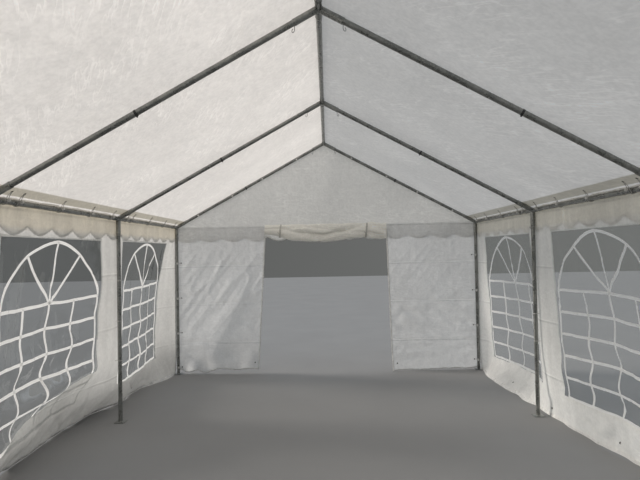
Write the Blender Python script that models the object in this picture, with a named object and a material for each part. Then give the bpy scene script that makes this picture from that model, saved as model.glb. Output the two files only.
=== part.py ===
# Marquee tent: a steel tube frame of equal bays under a ridged cloth cover,
# with windowed side walls, end walls with a doorway, and the door cloths rolled up.
# X runs across the tent, Y along the ridge and Z up. The origin is on the ground in the middle.

import math

import bpy
import bmesh
from mathutils import Matrix, Vector

# Tent, in metres
TENT_WIDTH = 4.0
BAY_LENGTH = 2.0
BAY_COUNT = 4
EAVE_HEIGHT = 1.96
RIDGE_RISE = 1.09

# Tubes and the sleeved connectors that they slide into
TUBE_DIAMETER = 0.038
TUBE_SIDES = 12
SLIDE_CLEARANCE = 0.0003
SLEEVE_WALL = 0.0025
SOCKET_DEPTH = 0.07
LEG_ARM = 0.15
RAFTER_ARM = 0.17
RAIL_ARM = 0.11
CROSSING_SHARE = 0.9
SEAT_GAP = 0.0003

# Feet
FOOT_WIDTH = 0.10
FOOT_THICKNESS = 0.004

# Cloth
CLOTH_THICKNESS = 0.003
FILM_THICKNESS = 0.002
VALANCE_DROP = 0.205
SCALLOP_PITCH = 0.32
SCALLOP_DEPTH = 0.055
SCALLOP_STEPS = 4

# Side walls
WINDOW_WIDTH = 1.47
WINDOW_SHIFT = 0.075
WINDOW_SILL = 0.28
WINDOW_HEIGHT = 1.46
WINDOW_LAP = 0.02
SKIRT_MARGIN = 0.01
LEAN_TOP = 1.65
WALL_LEAN = 0.16
SKIRT_REACH = 0.30

# End walls and rolled doors
DOORWAY_WIDTH = 1.70
HEADER_DEPTH = 0.06
END_WALL_LIFT = 0.03
ROLL_LENGTH = 1.62
ROLL_HEIGHT = 0.215
ROLL_DEPTH = 0.11
ROLL_STEPS = 10

# Derived sizes
HALF_WIDTH = TENT_WIDTH / 2
HALF_LENGTH = BAY_LENGTH * BAY_COUNT / 2
RIDGE_HEIGHT = EAVE_HEIGHT + RIDGE_RISE
SLOPE = math.atan2(RIDGE_RISE, HALF_WIDTH)
RAFTER_SPAN = math.hypot(RIDGE_RISE, HALF_WIDTH)
TUBE_RADIUS = TUBE_DIAMETER / 2
BORE_RADIUS = TUBE_RADIUS + SLIDE_CLEARANCE
SLEEVE_RADIUS = BORE_RADIUS + SLEEVE_WALL
ROOF_OFFSET = SLEEVE_RADIUS + SEAT_GAP
FILM_INNER_X = HALF_WIDTH + SLEEVE_RADIUS + SEAT_GAP
WALL_INNER_X = FILM_INNER_X + FILM_THICKNESS + SEAT_GAP
WALL_OUTER_X = WALL_INNER_X + CLOTH_THICKNESS
VALANCE_INNER_X = WALL_OUTER_X + SEAT_GAP
VALANCE_OUTER_X = VALANCE_INNER_X + CLOTH_THICKNESS
END_INNER_Y = HALF_LENGTH + SLEEVE_RADIUS + SEAT_GAP
END_OUTER_Y = END_INNER_Y + CLOTH_THICKNESS
GABLE_INNER_Y = END_OUTER_Y + SEAT_GAP
GABLE_OUTER_Y = GABLE_INNER_Y + CLOTH_THICKNESS
VALANCE_BOTTOM = EAVE_HEIGHT - VALANCE_DROP
SKIRT_TOP = WINDOW_SILL - WINDOW_LAP - SKIRT_MARGIN
FRAME_YS = [BAY_LENGTH * index - HALF_LENGTH for index in range(BAY_COUNT + 1)]
BAY_CENTRES = [y + BAY_LENGTH / 2 for y in FRAME_YS[:-1]]
SIDES = {"left": -1, "right": 1}
ENDS = {"front": -1, "rear": 1}


# Scene and materials

def clear_scene():
    for item in list(bpy.data.objects):
        bpy.data.objects.remove(item, do_unlink=True)


def make_material(name, colour, roughness, metallic, alpha=1.0):
    material = bpy.data.materials.new(name)
    material.use_nodes = True
    shader = material.node_tree.nodes["Principled BSDF"]
    shader.inputs["Base Color"].default_value = (*colour, 1.0)
    shader.inputs["Roughness"].default_value = roughness
    shader.inputs["Metallic"].default_value = metallic
    shader.inputs["Alpha"].default_value = alpha
    return material


def make_materials():
    return {
        "steel": make_material("galvanised_steel", (0.30, 0.32, 0.31), 0.45, 0.9),
        "roof": make_material("roof_cloth", (0.78, 0.77, 0.74), 0.55, 0.0),
        "wall": make_material("wall_cloth", (0.74, 0.73, 0.69), 0.55, 0.0),
        "film": make_material("window_film", (0.80, 0.85, 0.84), 0.10, 0.0, 0.35),
    }


def add_object(name, mesh, material, location=(0, 0, 0), turn=0.0, tilt=0.0):
    mesh.materials.clear()
    mesh.materials.append(material)
    item = bpy.data.objects.new(name, mesh)
    bpy.context.scene.collection.objects.link(item)
    item.location = location
    item.rotation_euler = (0, tilt, turn)
    return item


# Mesh helpers

def mesh_from(bm, name, smooth=False):
    bmesh.ops.recalc_face_normals(bm, faces=bm.faces)
    mesh = bpy.data.meshes.new(name)
    bm.to_mesh(mesh)
    bm.free()
    if smooth:
        mesh.shade_smooth()
        mesh.set_sharp_from_angle(angle=math.radians(35))
    return mesh


def axis_matrix(start, direction):
    """Local Z along the direction and local X along the most level row axis across it."""
    along = Vector(direction).normalized()
    runs_along_tent = abs(along.y) > abs(along.z)
    across = Vector((1, 0, 0)) if runs_along_tent else Vector((0, 1, 0))
    upward = along.cross(across)
    turned = Matrix((across, upward, along)).transposed().to_4x4()
    return Matrix.Translation(start) @ turned


def add_prism(bm, start, end, radius, sides=TUBE_SIDES):
    start = Vector(start)
    span = Vector(end) - start
    lifted = axis_matrix(start, span) @ Matrix.Translation((0, 0, span.length / 2))
    bmesh.ops.create_cone(
        bm,
        cap_ends=True,
        segments=sides,
        radius1=radius,
        radius2=radius,
        depth=span.length,
        matrix=lifted,
    )


def add_box(bm, low, high):
    low = Vector(low)
    high = Vector(high)
    sized = Matrix.Diagonal((*(high - low), 1.0))
    bmesh.ops.create_cube(bm, size=1.0, matrix=Matrix.Translation((low + high) / 2) @ sized)


def tool_object(fill, *arguments):
    """A temporary object whose mesh one of the add_ functions fills."""
    bm = bmesh.new()
    fill(bm, *arguments)
    item = bpy.data.objects.new("tool", mesh_from(bm, "tool"))
    bpy.context.scene.collection.objects.link(item)
    return item


def combine(name, base, unions, cuts, smooth=False):
    """Mesh of the base with the unions fused on and the cuts taken out."""
    for operation, tools in (("UNION", unions), ("DIFFERENCE", cuts)):
        for tool in tools:
            modifier = base.modifiers.new(operation.lower(), "BOOLEAN")
            modifier.operation = operation
            modifier.solver = "EXACT"
            modifier.object = tool
    bpy.context.view_layer.update()
    evaluated = base.evaluated_get(bpy.context.evaluated_depsgraph_get())
    bm = bmesh.new()
    bm.from_mesh(evaluated.to_mesh())
    evaluated.to_mesh_clear()
    for item in (base, *unions, *cuts):
        bpy.data.objects.remove(item, do_unlink=True)
    bmesh.ops.remove_doubles(bm, verts=bm.verts, dist=0.000005)
    bmesh.ops.dissolve_degenerate(bm, edges=bm.edges, dist=0.000005)
    bmesh.ops.triangulate(bm, faces=bm.faces)
    return mesh_from(bm, name, smooth)


# Frame pieces

def connector_mesh(name, runs, sockets):
    """Sleeves fused where their axes cross at the local origin, each with a blind socket."""
    centre = Vector((0, 0, 0))
    sleeves = [tool_object(add_prism, low, high, SLEEVE_RADIUS) for low, high in runs]
    bores = []
    for direction, arm in sockets:
        along = Vector(direction).normalized()
        floor = centre + along * (arm - SOCKET_DEPTH)
        mouth = centre + along * (arm + SLEEVE_RADIUS)
        bores.append(tool_object(add_prism, floor, mouth, BORE_RADIUS))
    return combine(name, sleeves[0], sleeves[1:], bores, smooth=True)


def rail_run(toward):
    """Ends of the sleeve along Y, through the crossing or out of it on one side only."""
    core = SLEEVE_RADIUS * CROSSING_SHARE
    low = RAIL_ARM if toward in (0, -1) else core
    high = RAIL_ARM if toward in (0, 1) else core
    return (0, -low, 0), (0, high, 0)


def rail_sockets(toward):
    ways = (-1, 1) if toward == 0 else (toward,)
    return [((0, way, 0), RAIL_ARM) for way in ways]


def eave_connector_mesh(toward):
    """Connector of a left leg: leg sleeve down, rafter sleeve up the slope, rail sleeves."""
    up_slope = Vector((math.cos(SLOPE), 0, math.sin(SLOPE)))
    runs = [
        rail_run(toward),
        ((0, 0, 0), (0, 0, -LEG_ARM)),
        ((0, 0, 0), up_slope * RAFTER_ARM),
    ]
    sockets = [((0, 0, -1), LEG_ARM), (up_slope, RAFTER_ARM)] + rail_sockets(toward)
    return connector_mesh("eave_connector", runs, sockets)


def apex_connector_mesh(toward):
    """Ridge connector: one rafter sleeve down each slope, ridge pole sleeves."""
    runs = [rail_run(toward)]
    sockets = rail_sockets(toward)
    for side in (-1, 1):
        down_slope = Vector((side * math.cos(SLOPE), 0, -math.sin(SLOPE)))
        runs.append(((0, 0, 0), down_slope * RAFTER_ARM))
        sockets.append((down_slope, RAFTER_ARM))
    return connector_mesh("apex_connector", runs, sockets)


def tube_reach(arm):
    """Distance from a crossing to the end of a tube that stands in that arm's socket."""
    return arm - SOCKET_DEPTH + SEAT_GAP


def leg_mesh():
    half = FOOT_WIDTH / 2
    plate = tool_object(add_box, (-half, -half, 0), (half, half, FOOT_THICKNESS))
    top = EAVE_HEIGHT - tube_reach(LEG_ARM)
    tube = tool_object(add_prism, (0, 0, FOOT_THICKNESS / 2), (0, 0, top), TUBE_RADIUS)
    return combine("leg", plate, [tube], [], smooth=True)


def tube_mesh(name, length, along=(0, 0, 1)):
    bm = bmesh.new()
    add_prism(bm, (0, 0, 0), Vector(along) * length, TUBE_RADIUS)
    return mesh_from(bm, name, smooth=True)


def build_frame(materials):
    steel = materials["steel"]
    toward = {0: 1, BAY_COUNT: -1}
    eave_meshes = {way: eave_connector_mesh(way) for way in (-1, 0, 1)}
    apex_meshes = {way: apex_connector_mesh(way) for way in (-1, 0, 1)}
    leg = leg_mesh()
    rafter_start = tube_reach(RAFTER_ARM)
    rafter = tube_mesh("rafter", RAFTER_SPAN - 2 * rafter_start)
    pole_start = tube_reach(RAIL_ARM)
    pole = tube_mesh("pole", BAY_LENGTH - 2 * pole_start, (0, 1, 0))
    for index, y in enumerate(FRAME_YS):
        way = toward.get(index, 0)
        frame_name = f"{index + 1}"
        add_object(f"apex_connector_{frame_name}", apex_meshes[way], steel, (0, y, RIDGE_HEIGHT))
        for side_name, side in SIDES.items():
            turn = 0 if side < 0 else math.pi
            seen_way = way if side < 0 else -way
            x = side * HALF_WIDTH
            add_object(f"{side_name}_leg_{frame_name}", leg, steel, (x, y, 0))
            add_object(
                f"{side_name}_eave_connector_{frame_name}",
                eave_meshes[seen_way],
                steel,
                (x, y, EAVE_HEIGHT),
                turn,
            )
            start_x = x - side * math.cos(SLOPE) * rafter_start
            start_z = EAVE_HEIGHT + math.sin(SLOPE) * rafter_start
            lean = side * (SLOPE - math.pi / 2)
            add_object(
                f"{side_name}_rafter_{frame_name}",
                rafter,
                steel,
                (start_x, y, start_z),
                tilt=lean,
            )
    for index, y in enumerate(FRAME_YS[:-1]):
        start = y + pole_start
        add_object(f"ridge_pole_{index + 1}", pole, steel, (0, start, RIDGE_HEIGHT))
        for side_name, side in SIDES.items():
            place = (side * HALF_WIDTH, start, EAVE_HEIGHT)
            add_object(f"{side_name}_eave_rail_{index + 1}", pole, steel, place)


# Cloth pieces

def roof_height(x, offset):
    """Height of the plane that lies the offset above the rafter axes, at x."""
    return RIDGE_HEIGHT + offset / math.cos(SLOPE) - abs(x) * math.tan(SLOPE)


def scallop_stations(half_span):
    """Places along a valance and the height of its lower edge there."""
    lobes = max(1, round(2 * half_span / SCALLOP_PITCH))
    count = lobes * SCALLOP_STEPS
    stations = []
    for index in range(count + 1):
        place = -half_span + 2 * half_span * index / count
        bulge = abs(math.sin(math.pi * index / SCALLOP_STEPS))
        stations.append((place, VALANCE_BOTTOM + SCALLOP_DEPTH * (1 - bulge)))
    return stations


def loft_rings(bm, rings):
    """Skin a row of rings, each an outer run of points followed by the inner run back."""
    rows = [[bm.verts.new(point) for point in ring] for ring in rings]
    size = len(rows[0])
    for row, following in zip(rows, rows[1:]):
        for index in range(size):
            turned = (index + 1) % size
            bm.faces.new((row[index], row[turned], following[turned], following[index]))
    for row in (rows[0], rows[-1]):
        for index in range(size // 2 - 1):
            back = size - 1 - index
            bm.faces.new((row[index], row[index + 1], row[back - 1], row[back]))


def roof_cover_mesh():
    """Both slopes and the scalloped side valances in one cloth."""
    top_offset = ROOF_OFFSET + CLOTH_THICKNESS
    outer_eave = roof_height(VALANCE_OUTER_X, top_offset)
    inner_eave = roof_height(VALANCE_INNER_X, ROOF_OFFSET)
    rings = []
    for y, bottom in scallop_stations(GABLE_OUTER_Y):
        outer = [
            (-VALANCE_OUTER_X, y, bottom),
            (-VALANCE_OUTER_X, y, outer_eave),
            (0, y, roof_height(0, top_offset)),
            (VALANCE_OUTER_X, y, outer_eave),
            (VALANCE_OUTER_X, y, bottom),
        ]
        inner = [
            (VALANCE_INNER_X, y, bottom),
            (VALANCE_INNER_X, y, inner_eave),
            (0, y, roof_height(0, ROOF_OFFSET)),
            (-VALANCE_INNER_X, y, inner_eave),
            (-VALANCE_INNER_X, y, bottom),
        ]
        rings.append(outer + inner)
    bm = bmesh.new()
    loft_rings(bm, rings)
    bmesh.ops.triangulate(bm, faces=bm.faces)
    return mesh_from(bm, "roof_cover")


def gable_panel_mesh():
    """Triangle under the roof cover with its own scalloped valance, at y from 0 outwards."""
    half_span = VALANCE_INNER_X - SEAT_GAP
    places = scallop_stations(half_span)
    rings = []
    for x, bottom in places:
        top = roof_height(x, ROOF_OFFSET - SEAT_GAP)
        rings.append([
            (x, 0, bottom),
            (x, 0, top),
            (x, CLOTH_THICKNESS, top),
            (x, CLOTH_THICKNESS, bottom),
        ])
    bm = bmesh.new()
    loft_rings(bm, rings)
    bmesh.ops.triangulate(bm, faces=bm.faces)
    return mesh_from(bm, "gable_panel")


def wall_line(lean, reach):
    """Inner line of the right wall seen along Y, from the eave down to the ground."""
    return [
        Vector((WALL_INNER_X, EAVE_HEIGHT)),
        Vector((WALL_INNER_X, LEAN_TOP)),
        Vector((WALL_INNER_X + lean, SKIRT_TOP)),
        Vector((WALL_INNER_X + reach, 0)),
    ]


def offset_line(line, distance):
    """The line moved outwards, keeping its upper end's height and ending on the ground."""
    moved = []
    directions = [(low - high).normalized() for high, low in zip(line, line[1:])]
    normals = [Vector((-along.y, along.x)) for along in directions]
    moved.append(line[0] + normals[0] * distance)
    for corner, above, below in zip(line[1:-1], normals, normals[1:]):
        middle = (above + below).normalized()
        moved.append(corner + middle * distance / middle.dot(below))
    last = line[-1] + normals[-1] * distance
    drop = (last.y - line[-1].y) / -directions[-1].y
    moved.append(last + directions[-1] * drop)
    return moved


def wall_ring(y, lean, reach):
    inner = wall_line(lean, reach)
    outer = offset_line(inner, CLOTH_THICKNESS)
    return [(x, y, z) for x, z in outer + inner[::-1]]


def film_half_run():
    return BAY_CENTRES[-1] + WINDOW_WIDTH / 2 + WINDOW_LAP


def side_wall_mesh(shift):
    """Right side wall with one window hole to a bay, each off the bay's middle by the shift.

    It stands upright at the corner legs, with the skirt just past their feet, and leans out
    between them.
    """
    lean_y = film_half_run() + WINDOW_SHIFT + WINDOW_LAP
    corner = (0, FOOT_WIDTH / 2)
    middle = (WALL_LEAN, SKIRT_REACH)
    stations = [(-END_OUTER_Y, corner), (-lean_y, middle), (lean_y, middle), (END_OUTER_Y, corner)]
    bm = bmesh.new()
    loft_rings(bm, [wall_ring(y, *places) for y, places in stations])
    bmesh.ops.triangulate(bm, faces=bm.faces)
    wall = bpy.data.objects.new("tool", mesh_from(bm, "tool"))
    bpy.context.scene.collection.objects.link(wall)
    half = WINDOW_WIDTH / 2
    window_head = WINDOW_SILL + WINDOW_HEIGHT
    holes = []
    for bay_centre in BAY_CENTRES:
        centre = bay_centre + shift
        low = (WALL_INNER_X - CLOTH_THICKNESS, centre - half, WINDOW_SILL)
        high = (WALL_OUTER_X + WALL_LEAN + CLOTH_THICKNESS, centre + half, window_head)
        holes.append(tool_object(add_box, low, high))
    return combine("side_wall", wall, [], holes)


def window_film_mesh(shift):
    """One clear sheet on the inner face of the right wall, behind all its windows."""
    sill = WINDOW_SILL - WINDOW_LAP
    head = WINDOW_SILL + WINDOW_HEIGHT + WINDOW_LAP
    lean = WALL_LEAN * (LEAN_TOP - sill) / (LEAN_TOP - SKIRT_TOP)
    line = [
        Vector((WALL_INNER_X, head)),
        Vector((WALL_INNER_X, LEAN_TOP)),
        Vector((WALL_INNER_X + lean, sill)),
    ]
    outer = offset_line(line, -SEAT_GAP)
    inner = offset_line(line, -SEAT_GAP - FILM_THICKNESS)
    section = outer + inner[::-1]
    run = (shift - film_half_run(), shift + film_half_run())
    bm = bmesh.new()
    loft_rings(bm, [[(x, y, z) for x, z in section] for y in run])
    return mesh_from(bm, "window_film")


def end_wall_mesh():
    """End wall between the side walls, at y from 0 outwards, with its doorway cut through."""
    half_span = WALL_INNER_X - SEAT_GAP
    half_door = DOORWAY_WIDTH / 2
    low = (-half_span, 0, END_WALL_LIFT)
    high = (half_span, CLOTH_THICKNESS, EAVE_HEIGHT)
    door_head = EAVE_HEIGHT - HEADER_DEPTH
    wall = tool_object(add_box, low, high)
    door_low = (-half_door, -CLOTH_THICKNESS, 0)
    door_high = (half_door, 2 * CLOTH_THICKNESS, door_head)
    doorway = tool_object(add_box, door_low, door_high)
    return combine("end_wall", wall, [], [doorway])


def rolled_door_mesh():
    """Rolled cloth with its flat back at y = 0, against the header, and its top at z = 0."""
    front = []
    back = []
    for index in range(ROLL_STEPS):
        angle = math.pi * (index + 0.5) / ROLL_STEPS
        z = ROLL_HEIGHT / 2 * (math.cos(angle) - 1)
        front.append((-ROLL_DEPTH * math.sin(angle), z))
        back.append((0, z))
    section = front + back[::-1]
    bm = bmesh.new()
    loft_rings(bm, [[(x, y, z) for y, z in section] for x in (-ROLL_LENGTH / 2, ROLL_LENGTH / 2)])
    return mesh_from(bm, "rolled_door", smooth=True)


def build_cloth(materials):
    add_object("roof_cover", roof_cover_mesh(), materials["roof"])
    gable = gable_panel_mesh()
    end_wall = end_wall_mesh()
    rolled_door = rolled_door_mesh()
    for end_name, end in ENDS.items():
        turn = 0 if end > 0 else math.pi
        gable_place = (0, end * GABLE_INNER_Y, 0)
        add_object(f"{end_name}_gable_panel", gable, materials["roof"], gable_place, turn)
        wall_place = (0, end * END_INNER_Y, 0)
        add_object(f"{end_name}_end_wall", end_wall, materials["wall"], wall_place, turn)
        roll_place = (0, end * (END_INNER_Y - SEAT_GAP), EAVE_HEIGHT)
        add_object(f"{end_name}_rolled_door", rolled_door, materials["wall"], roll_place, turn)
    for side_name, side in SIDES.items():
        # The left wall is half turned, so its shift changes sign to point the same way
        turn = 0 if side > 0 else math.pi
        shift = -side * WINDOW_SHIFT
        add_object(f"{side_name}_side_wall", side_wall_mesh(shift), materials["wall"], turn=turn)
        add_object(f"{side_name}_window_film", window_film_mesh(shift), materials["film"], turn=turn)


def main():
    clear_scene()
    materials = make_materials()
    build_frame(materials)
    build_cloth(materials)


main()
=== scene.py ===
import math

import bmesh
import bpy
import numpy as np
from mathutils import Matrix, Vector


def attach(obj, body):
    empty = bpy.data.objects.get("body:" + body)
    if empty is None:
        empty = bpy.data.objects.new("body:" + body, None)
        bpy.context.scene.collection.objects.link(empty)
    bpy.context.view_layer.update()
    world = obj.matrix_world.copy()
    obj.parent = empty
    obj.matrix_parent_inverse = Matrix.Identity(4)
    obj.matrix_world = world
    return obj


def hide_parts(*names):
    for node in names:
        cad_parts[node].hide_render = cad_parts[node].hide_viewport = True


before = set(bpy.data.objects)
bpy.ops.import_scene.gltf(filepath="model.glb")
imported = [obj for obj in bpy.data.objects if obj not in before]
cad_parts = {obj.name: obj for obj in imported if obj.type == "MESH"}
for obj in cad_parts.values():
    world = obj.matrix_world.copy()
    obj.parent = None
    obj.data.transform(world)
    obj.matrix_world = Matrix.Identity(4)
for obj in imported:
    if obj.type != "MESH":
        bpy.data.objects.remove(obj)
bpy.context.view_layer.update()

# Tent, in metres, as in the CAD model
HALF_WIDTH = 2.0
HALF_LENGTH = 4.0
EAVE = 1.96
RIDGE = 3.05
SLOPE = math.atan2(RIDGE - EAVE, HALF_WIDTH)
RAFTER_SPAN = math.hypot(RIDGE - EAVE, HALF_WIDTH)
BAY_LENGTH = 2.0
FRAME_YS = (-4.0, -2.0, 0.0, 2.0, 4.0)
BAY_CENTRES = (-3.0, -1.0, 1.0, 3.0)
SIDES = {"left": -1, "right": 1}
ENDS = {"front": -1, "rear": 1}

# Steel, in metres
TUBE_RADIUS = 0.019
BORE_RADIUS = 0.0193
SLEEVE_RADIUS = 0.0218
LEG_ARM = 0.15
RAFTER_ARM = 0.17
RAIL_ARM = 0.11
SOCKET_DEPTH = 0.07
FOOT_HALF = 0.05
FOOT_TOP = 0.004

# Cloth lines, in metres: the middle of each CAD sheet
ROOF_LIFT = 0.0236
RIDGE_ROUNDING = 0.005
VALANCE_X = 2.0292
VALANCE_BOTTOM = 1.755
SCALLOP_DEPTH = 0.055
ROOF_END_Y = 4.0284
GABLE_Y = 4.0269
GABLE_HALF = 2.0270
END_Y = 4.0236
END_HALF = 2.0240
WALL_X = 2.0259
WALL_END_Y = 4.0250
RAIL_HEM_RADIUS = 0.0226
LOBES_ALONG = 25
LOBES_ACROSS = 13
COLUMNS_PER_LOBE = 13

# Windows, in metres
WINDOW_SHIFT = -0.075
WINDOW_HALF = 0.735
WINDOW_HEAD = 1.74
WINDOW_SILL = 0.28
WINDOW_LAP = 0.02
PATTERN_HALF = 0.69
SPRING_HEIGHT = 1.242
ARCH_RISE = 0.478
ARCH_POWER = 1.7
STRIP_WIDTH = 0.024
BAR_HEIGHTS = (1.242, 1.048, 0.857, 0.666, 0.475, 0.298)


# Smooth random shapes

NOISE_KNOTS = 64


def soft_noise(u, v, seed):
    """Smooth noise from -1 to 1, with one knot to a unit of u and v."""
    knots = np.random.default_rng(seed).uniform(-1, 1, (NOISE_KNOTS, NOISE_KNOTS))
    u, v = np.broadcast_arrays(u, v)
    column = np.floor(u).astype(int)
    row = np.floor(v).astype(int)
    across = u - column
    along = v - row
    across = across ** 3 * (across * (6 * across - 15) + 10)
    along = along ** 3 * (along * (6 * along - 15) + 10)
    west = column % NOISE_KNOTS
    east = (column + 1) % NOISE_KNOTS
    south = row % NOISE_KNOTS
    north = (row + 1) % NOISE_KNOTS
    low = knots[west, south] * (1 - across) + knots[east, south] * across
    high = knots[west, north] * (1 - across) + knots[east, north] * across
    return low * (1 - along) + high * along


def turned_noise(u, v, degrees, long_side, short_side, seed):
    """Noise drawn out along a line at an angle in the plane of u and v."""
    angle = math.radians(degrees)
    along = (u * math.cos(angle) + v * math.sin(angle)) / long_side
    across = (v * math.cos(angle) - u * math.sin(angle)) / short_side
    return soft_noise(along + 20, across + 20, seed)


def ridges(noise, width):
    """Sharp low ridges along the lines where a noise is zero."""
    return np.maximum(0, 1 - np.abs(noise) / width) ** 2


def rise(value, low, high):
    """0 below low, 1 above high and smooth between them."""
    share = np.clip((value - low) / (high - low), 0, 1)
    return share * share * (3 - 2 * share)


def soft_line(value, places, levels, blur):
    """Levels read between places, with the corners rounded over the blur."""
    value = np.asarray(value, float)
    steps = np.linspace(-1, 1, 7)
    return sum(np.interp(value + blur * step, places, levels) for step in steps) / len(steps)


# Pieces

class Shape:
    """Points and faces gathered for one piece."""

    def __init__(self):
        self.points = []
        self.faces = []
        self.count = 0

    def add_points(self, points):
        points = np.asarray(points, float).reshape(-1, 3)
        first = self.count
        self.points.append(points)
        self.count += len(points)
        return first

    def add_grid(self, grid, closed=False, keep=None):
        """Faces over rows of points. Closed joins each row's last point to its first."""
        grid = np.asarray(grid, float)
        rows, columns = grid.shape[:2]
        index = self.add_points(grid) + np.arange(rows * columns).reshape(rows, columns)
        following = np.roll(index, -1, axis=1)
        cells = columns if closed else columns - 1
        corners = (index[:-1, :cells], following[:-1, :cells], following[1:, :cells], index[1:, :cells])
        quads = np.stack(corners, axis=-1)
        if keep is not None:
            quads = quads[keep]
        self.faces.extend(quads.reshape(-1, 4).tolist())
        return index

    def add_cap(self, ring, flip=False):
        ring = [int(index) for index in ring]
        self.faces.append(ring[::-1] if flip else ring)

    def mesh(self, name, sharp=None):
        mesh = bpy.data.meshes.new(name)
        mesh.from_pydata(np.concatenate(self.points).tolist(), [], self.faces)
        mesh.validate()
        mesh.polygons.foreach_set("use_smooth", [True] * len(mesh.polygons))
        if sharp is not None:
            mesh.set_sharp_from_angle(angle=math.radians(sharp))
        drop_unused(mesh)
        mesh.update()
        return mesh


def drop_unused(mesh):
    """Remove the vertices that no face uses, such as those inside a window hole."""
    work = bmesh.new()
    work.from_mesh(mesh)
    loose = [vertex for vertex in work.verts if not vertex.link_faces]
    if loose:
        bmesh.ops.delete(work, geom=loose, context="VERTS")
        work.to_mesh(mesh)
    work.free()


def axes_across(direction):
    """Two unit vectors square to a direction and to each other."""
    direction = np.asarray(direction, float) / np.linalg.norm(direction)
    helper = (0, 0, 1) if abs(direction[2]) < 0.9 else (0, 1, 0)
    first = np.cross(helper, direction)
    first /= np.linalg.norm(first)
    return first, np.cross(direction, first)


def lathe(shape, origin, direction, profile, segments=28, caps=(True, True)):
    """Round body about a line. The profile has pairs of distance along it and radius."""
    origin = np.asarray(origin, float)
    direction = np.asarray(direction, float) / np.linalg.norm(direction)
    first, second = axes_across(direction)
    angles = np.linspace(0, 2 * math.pi, segments, endpoint=False)
    circle = np.outer(np.cos(angles), first) + np.outer(np.sin(angles), second)
    grid = [origin + direction * distance + circle * radius for distance, radius in profile]
    index = shape.add_grid(grid, closed=True)
    if caps[0]:
        shape.add_cap(index[0], flip=True)
    if caps[1]:
        shape.add_cap(index[-1])


def ball(shape, centre, radius, segments=14, rings=8, direction=(0, 0, 1)):
    angles = np.linspace(0.12, math.pi - 0.12, rings)
    profile = [(-radius * math.cos(angle), radius * math.sin(angle)) for angle in angles]
    lathe(shape, centre, direction, profile, segments)


def sweep(shape, path, radius, segments=8, closed=False):
    """Round cord along a path of points."""
    path = np.asarray(path, float)
    if closed:
        along = np.roll(path, -1, axis=0) - np.roll(path, 1, axis=0)
    else:
        along = np.gradient(path, axis=0)
    along /= np.linalg.norm(along, axis=1)[:, None]
    side, _ = axes_across(along[0])
    radii = np.broadcast_to(radius, len(path))
    angles = np.linspace(0, 2 * math.pi, segments, endpoint=False)
    rings = []
    for point, direction, size in zip(path, along, radii):
        side = side - direction * np.dot(side, direction)
        side /= np.linalg.norm(side)
        other = np.cross(direction, side)
        circle = np.outer(np.cos(angles), side) + np.outer(np.sin(angles), other)
        rings.append(point + circle * size)
    if closed:
        rings.append(rings[0])
    index = shape.add_grid(rings, closed=True)
    if not closed:
        shape.add_cap(index[0], flip=True)
        shape.add_cap(index[-1])


def add_piece(name, shape, material, nodes=(), sharp=None):
    """Put a gathered shape into the scene. It rides on the tent and stands for the named nodes."""
    item = bpy.data.objects.new(name, shape.mesh(name, sharp))
    item.data.materials.append(material)
    bpy.context.scene.collection.objects.link(item)
    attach(item, "root")
    if nodes:
        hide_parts(*nodes)
    return item


def add_hem(shape, edge, inner, normal, half=0.0012):
    """Cloth folded over an edge: inner lies a hem's width inside the edge on the sheet."""
    edge = np.asarray(edge, float)
    inner = np.asarray(inner, float)
    normal = np.broadcast_to(normal, edge.shape)
    outward = edge - inner
    outward /= np.linalg.norm(outward, axis=1)[:, None]
    rim = edge + outward * half
    grid = [
        inner + normal * half * 0.6,
        inner + normal * half,
        edge + normal * half,
        rim,
        edge - normal * half,
        inner - normal * half,
        inner - normal * half * 0.6,
    ]
    shape.add_grid(grid)


def add_hems(name, slot, *bands):
    """Hems along a sheet's edges, as one piece. Each band has its edge, inner line and normal."""
    hem = Shape()
    for edge, inner, normal in bands:
        add_hem(hem, edge, inner, normal)
    return add_piece(name, hem, HEM_TAPE, sharp=60)


# Materials

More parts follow.
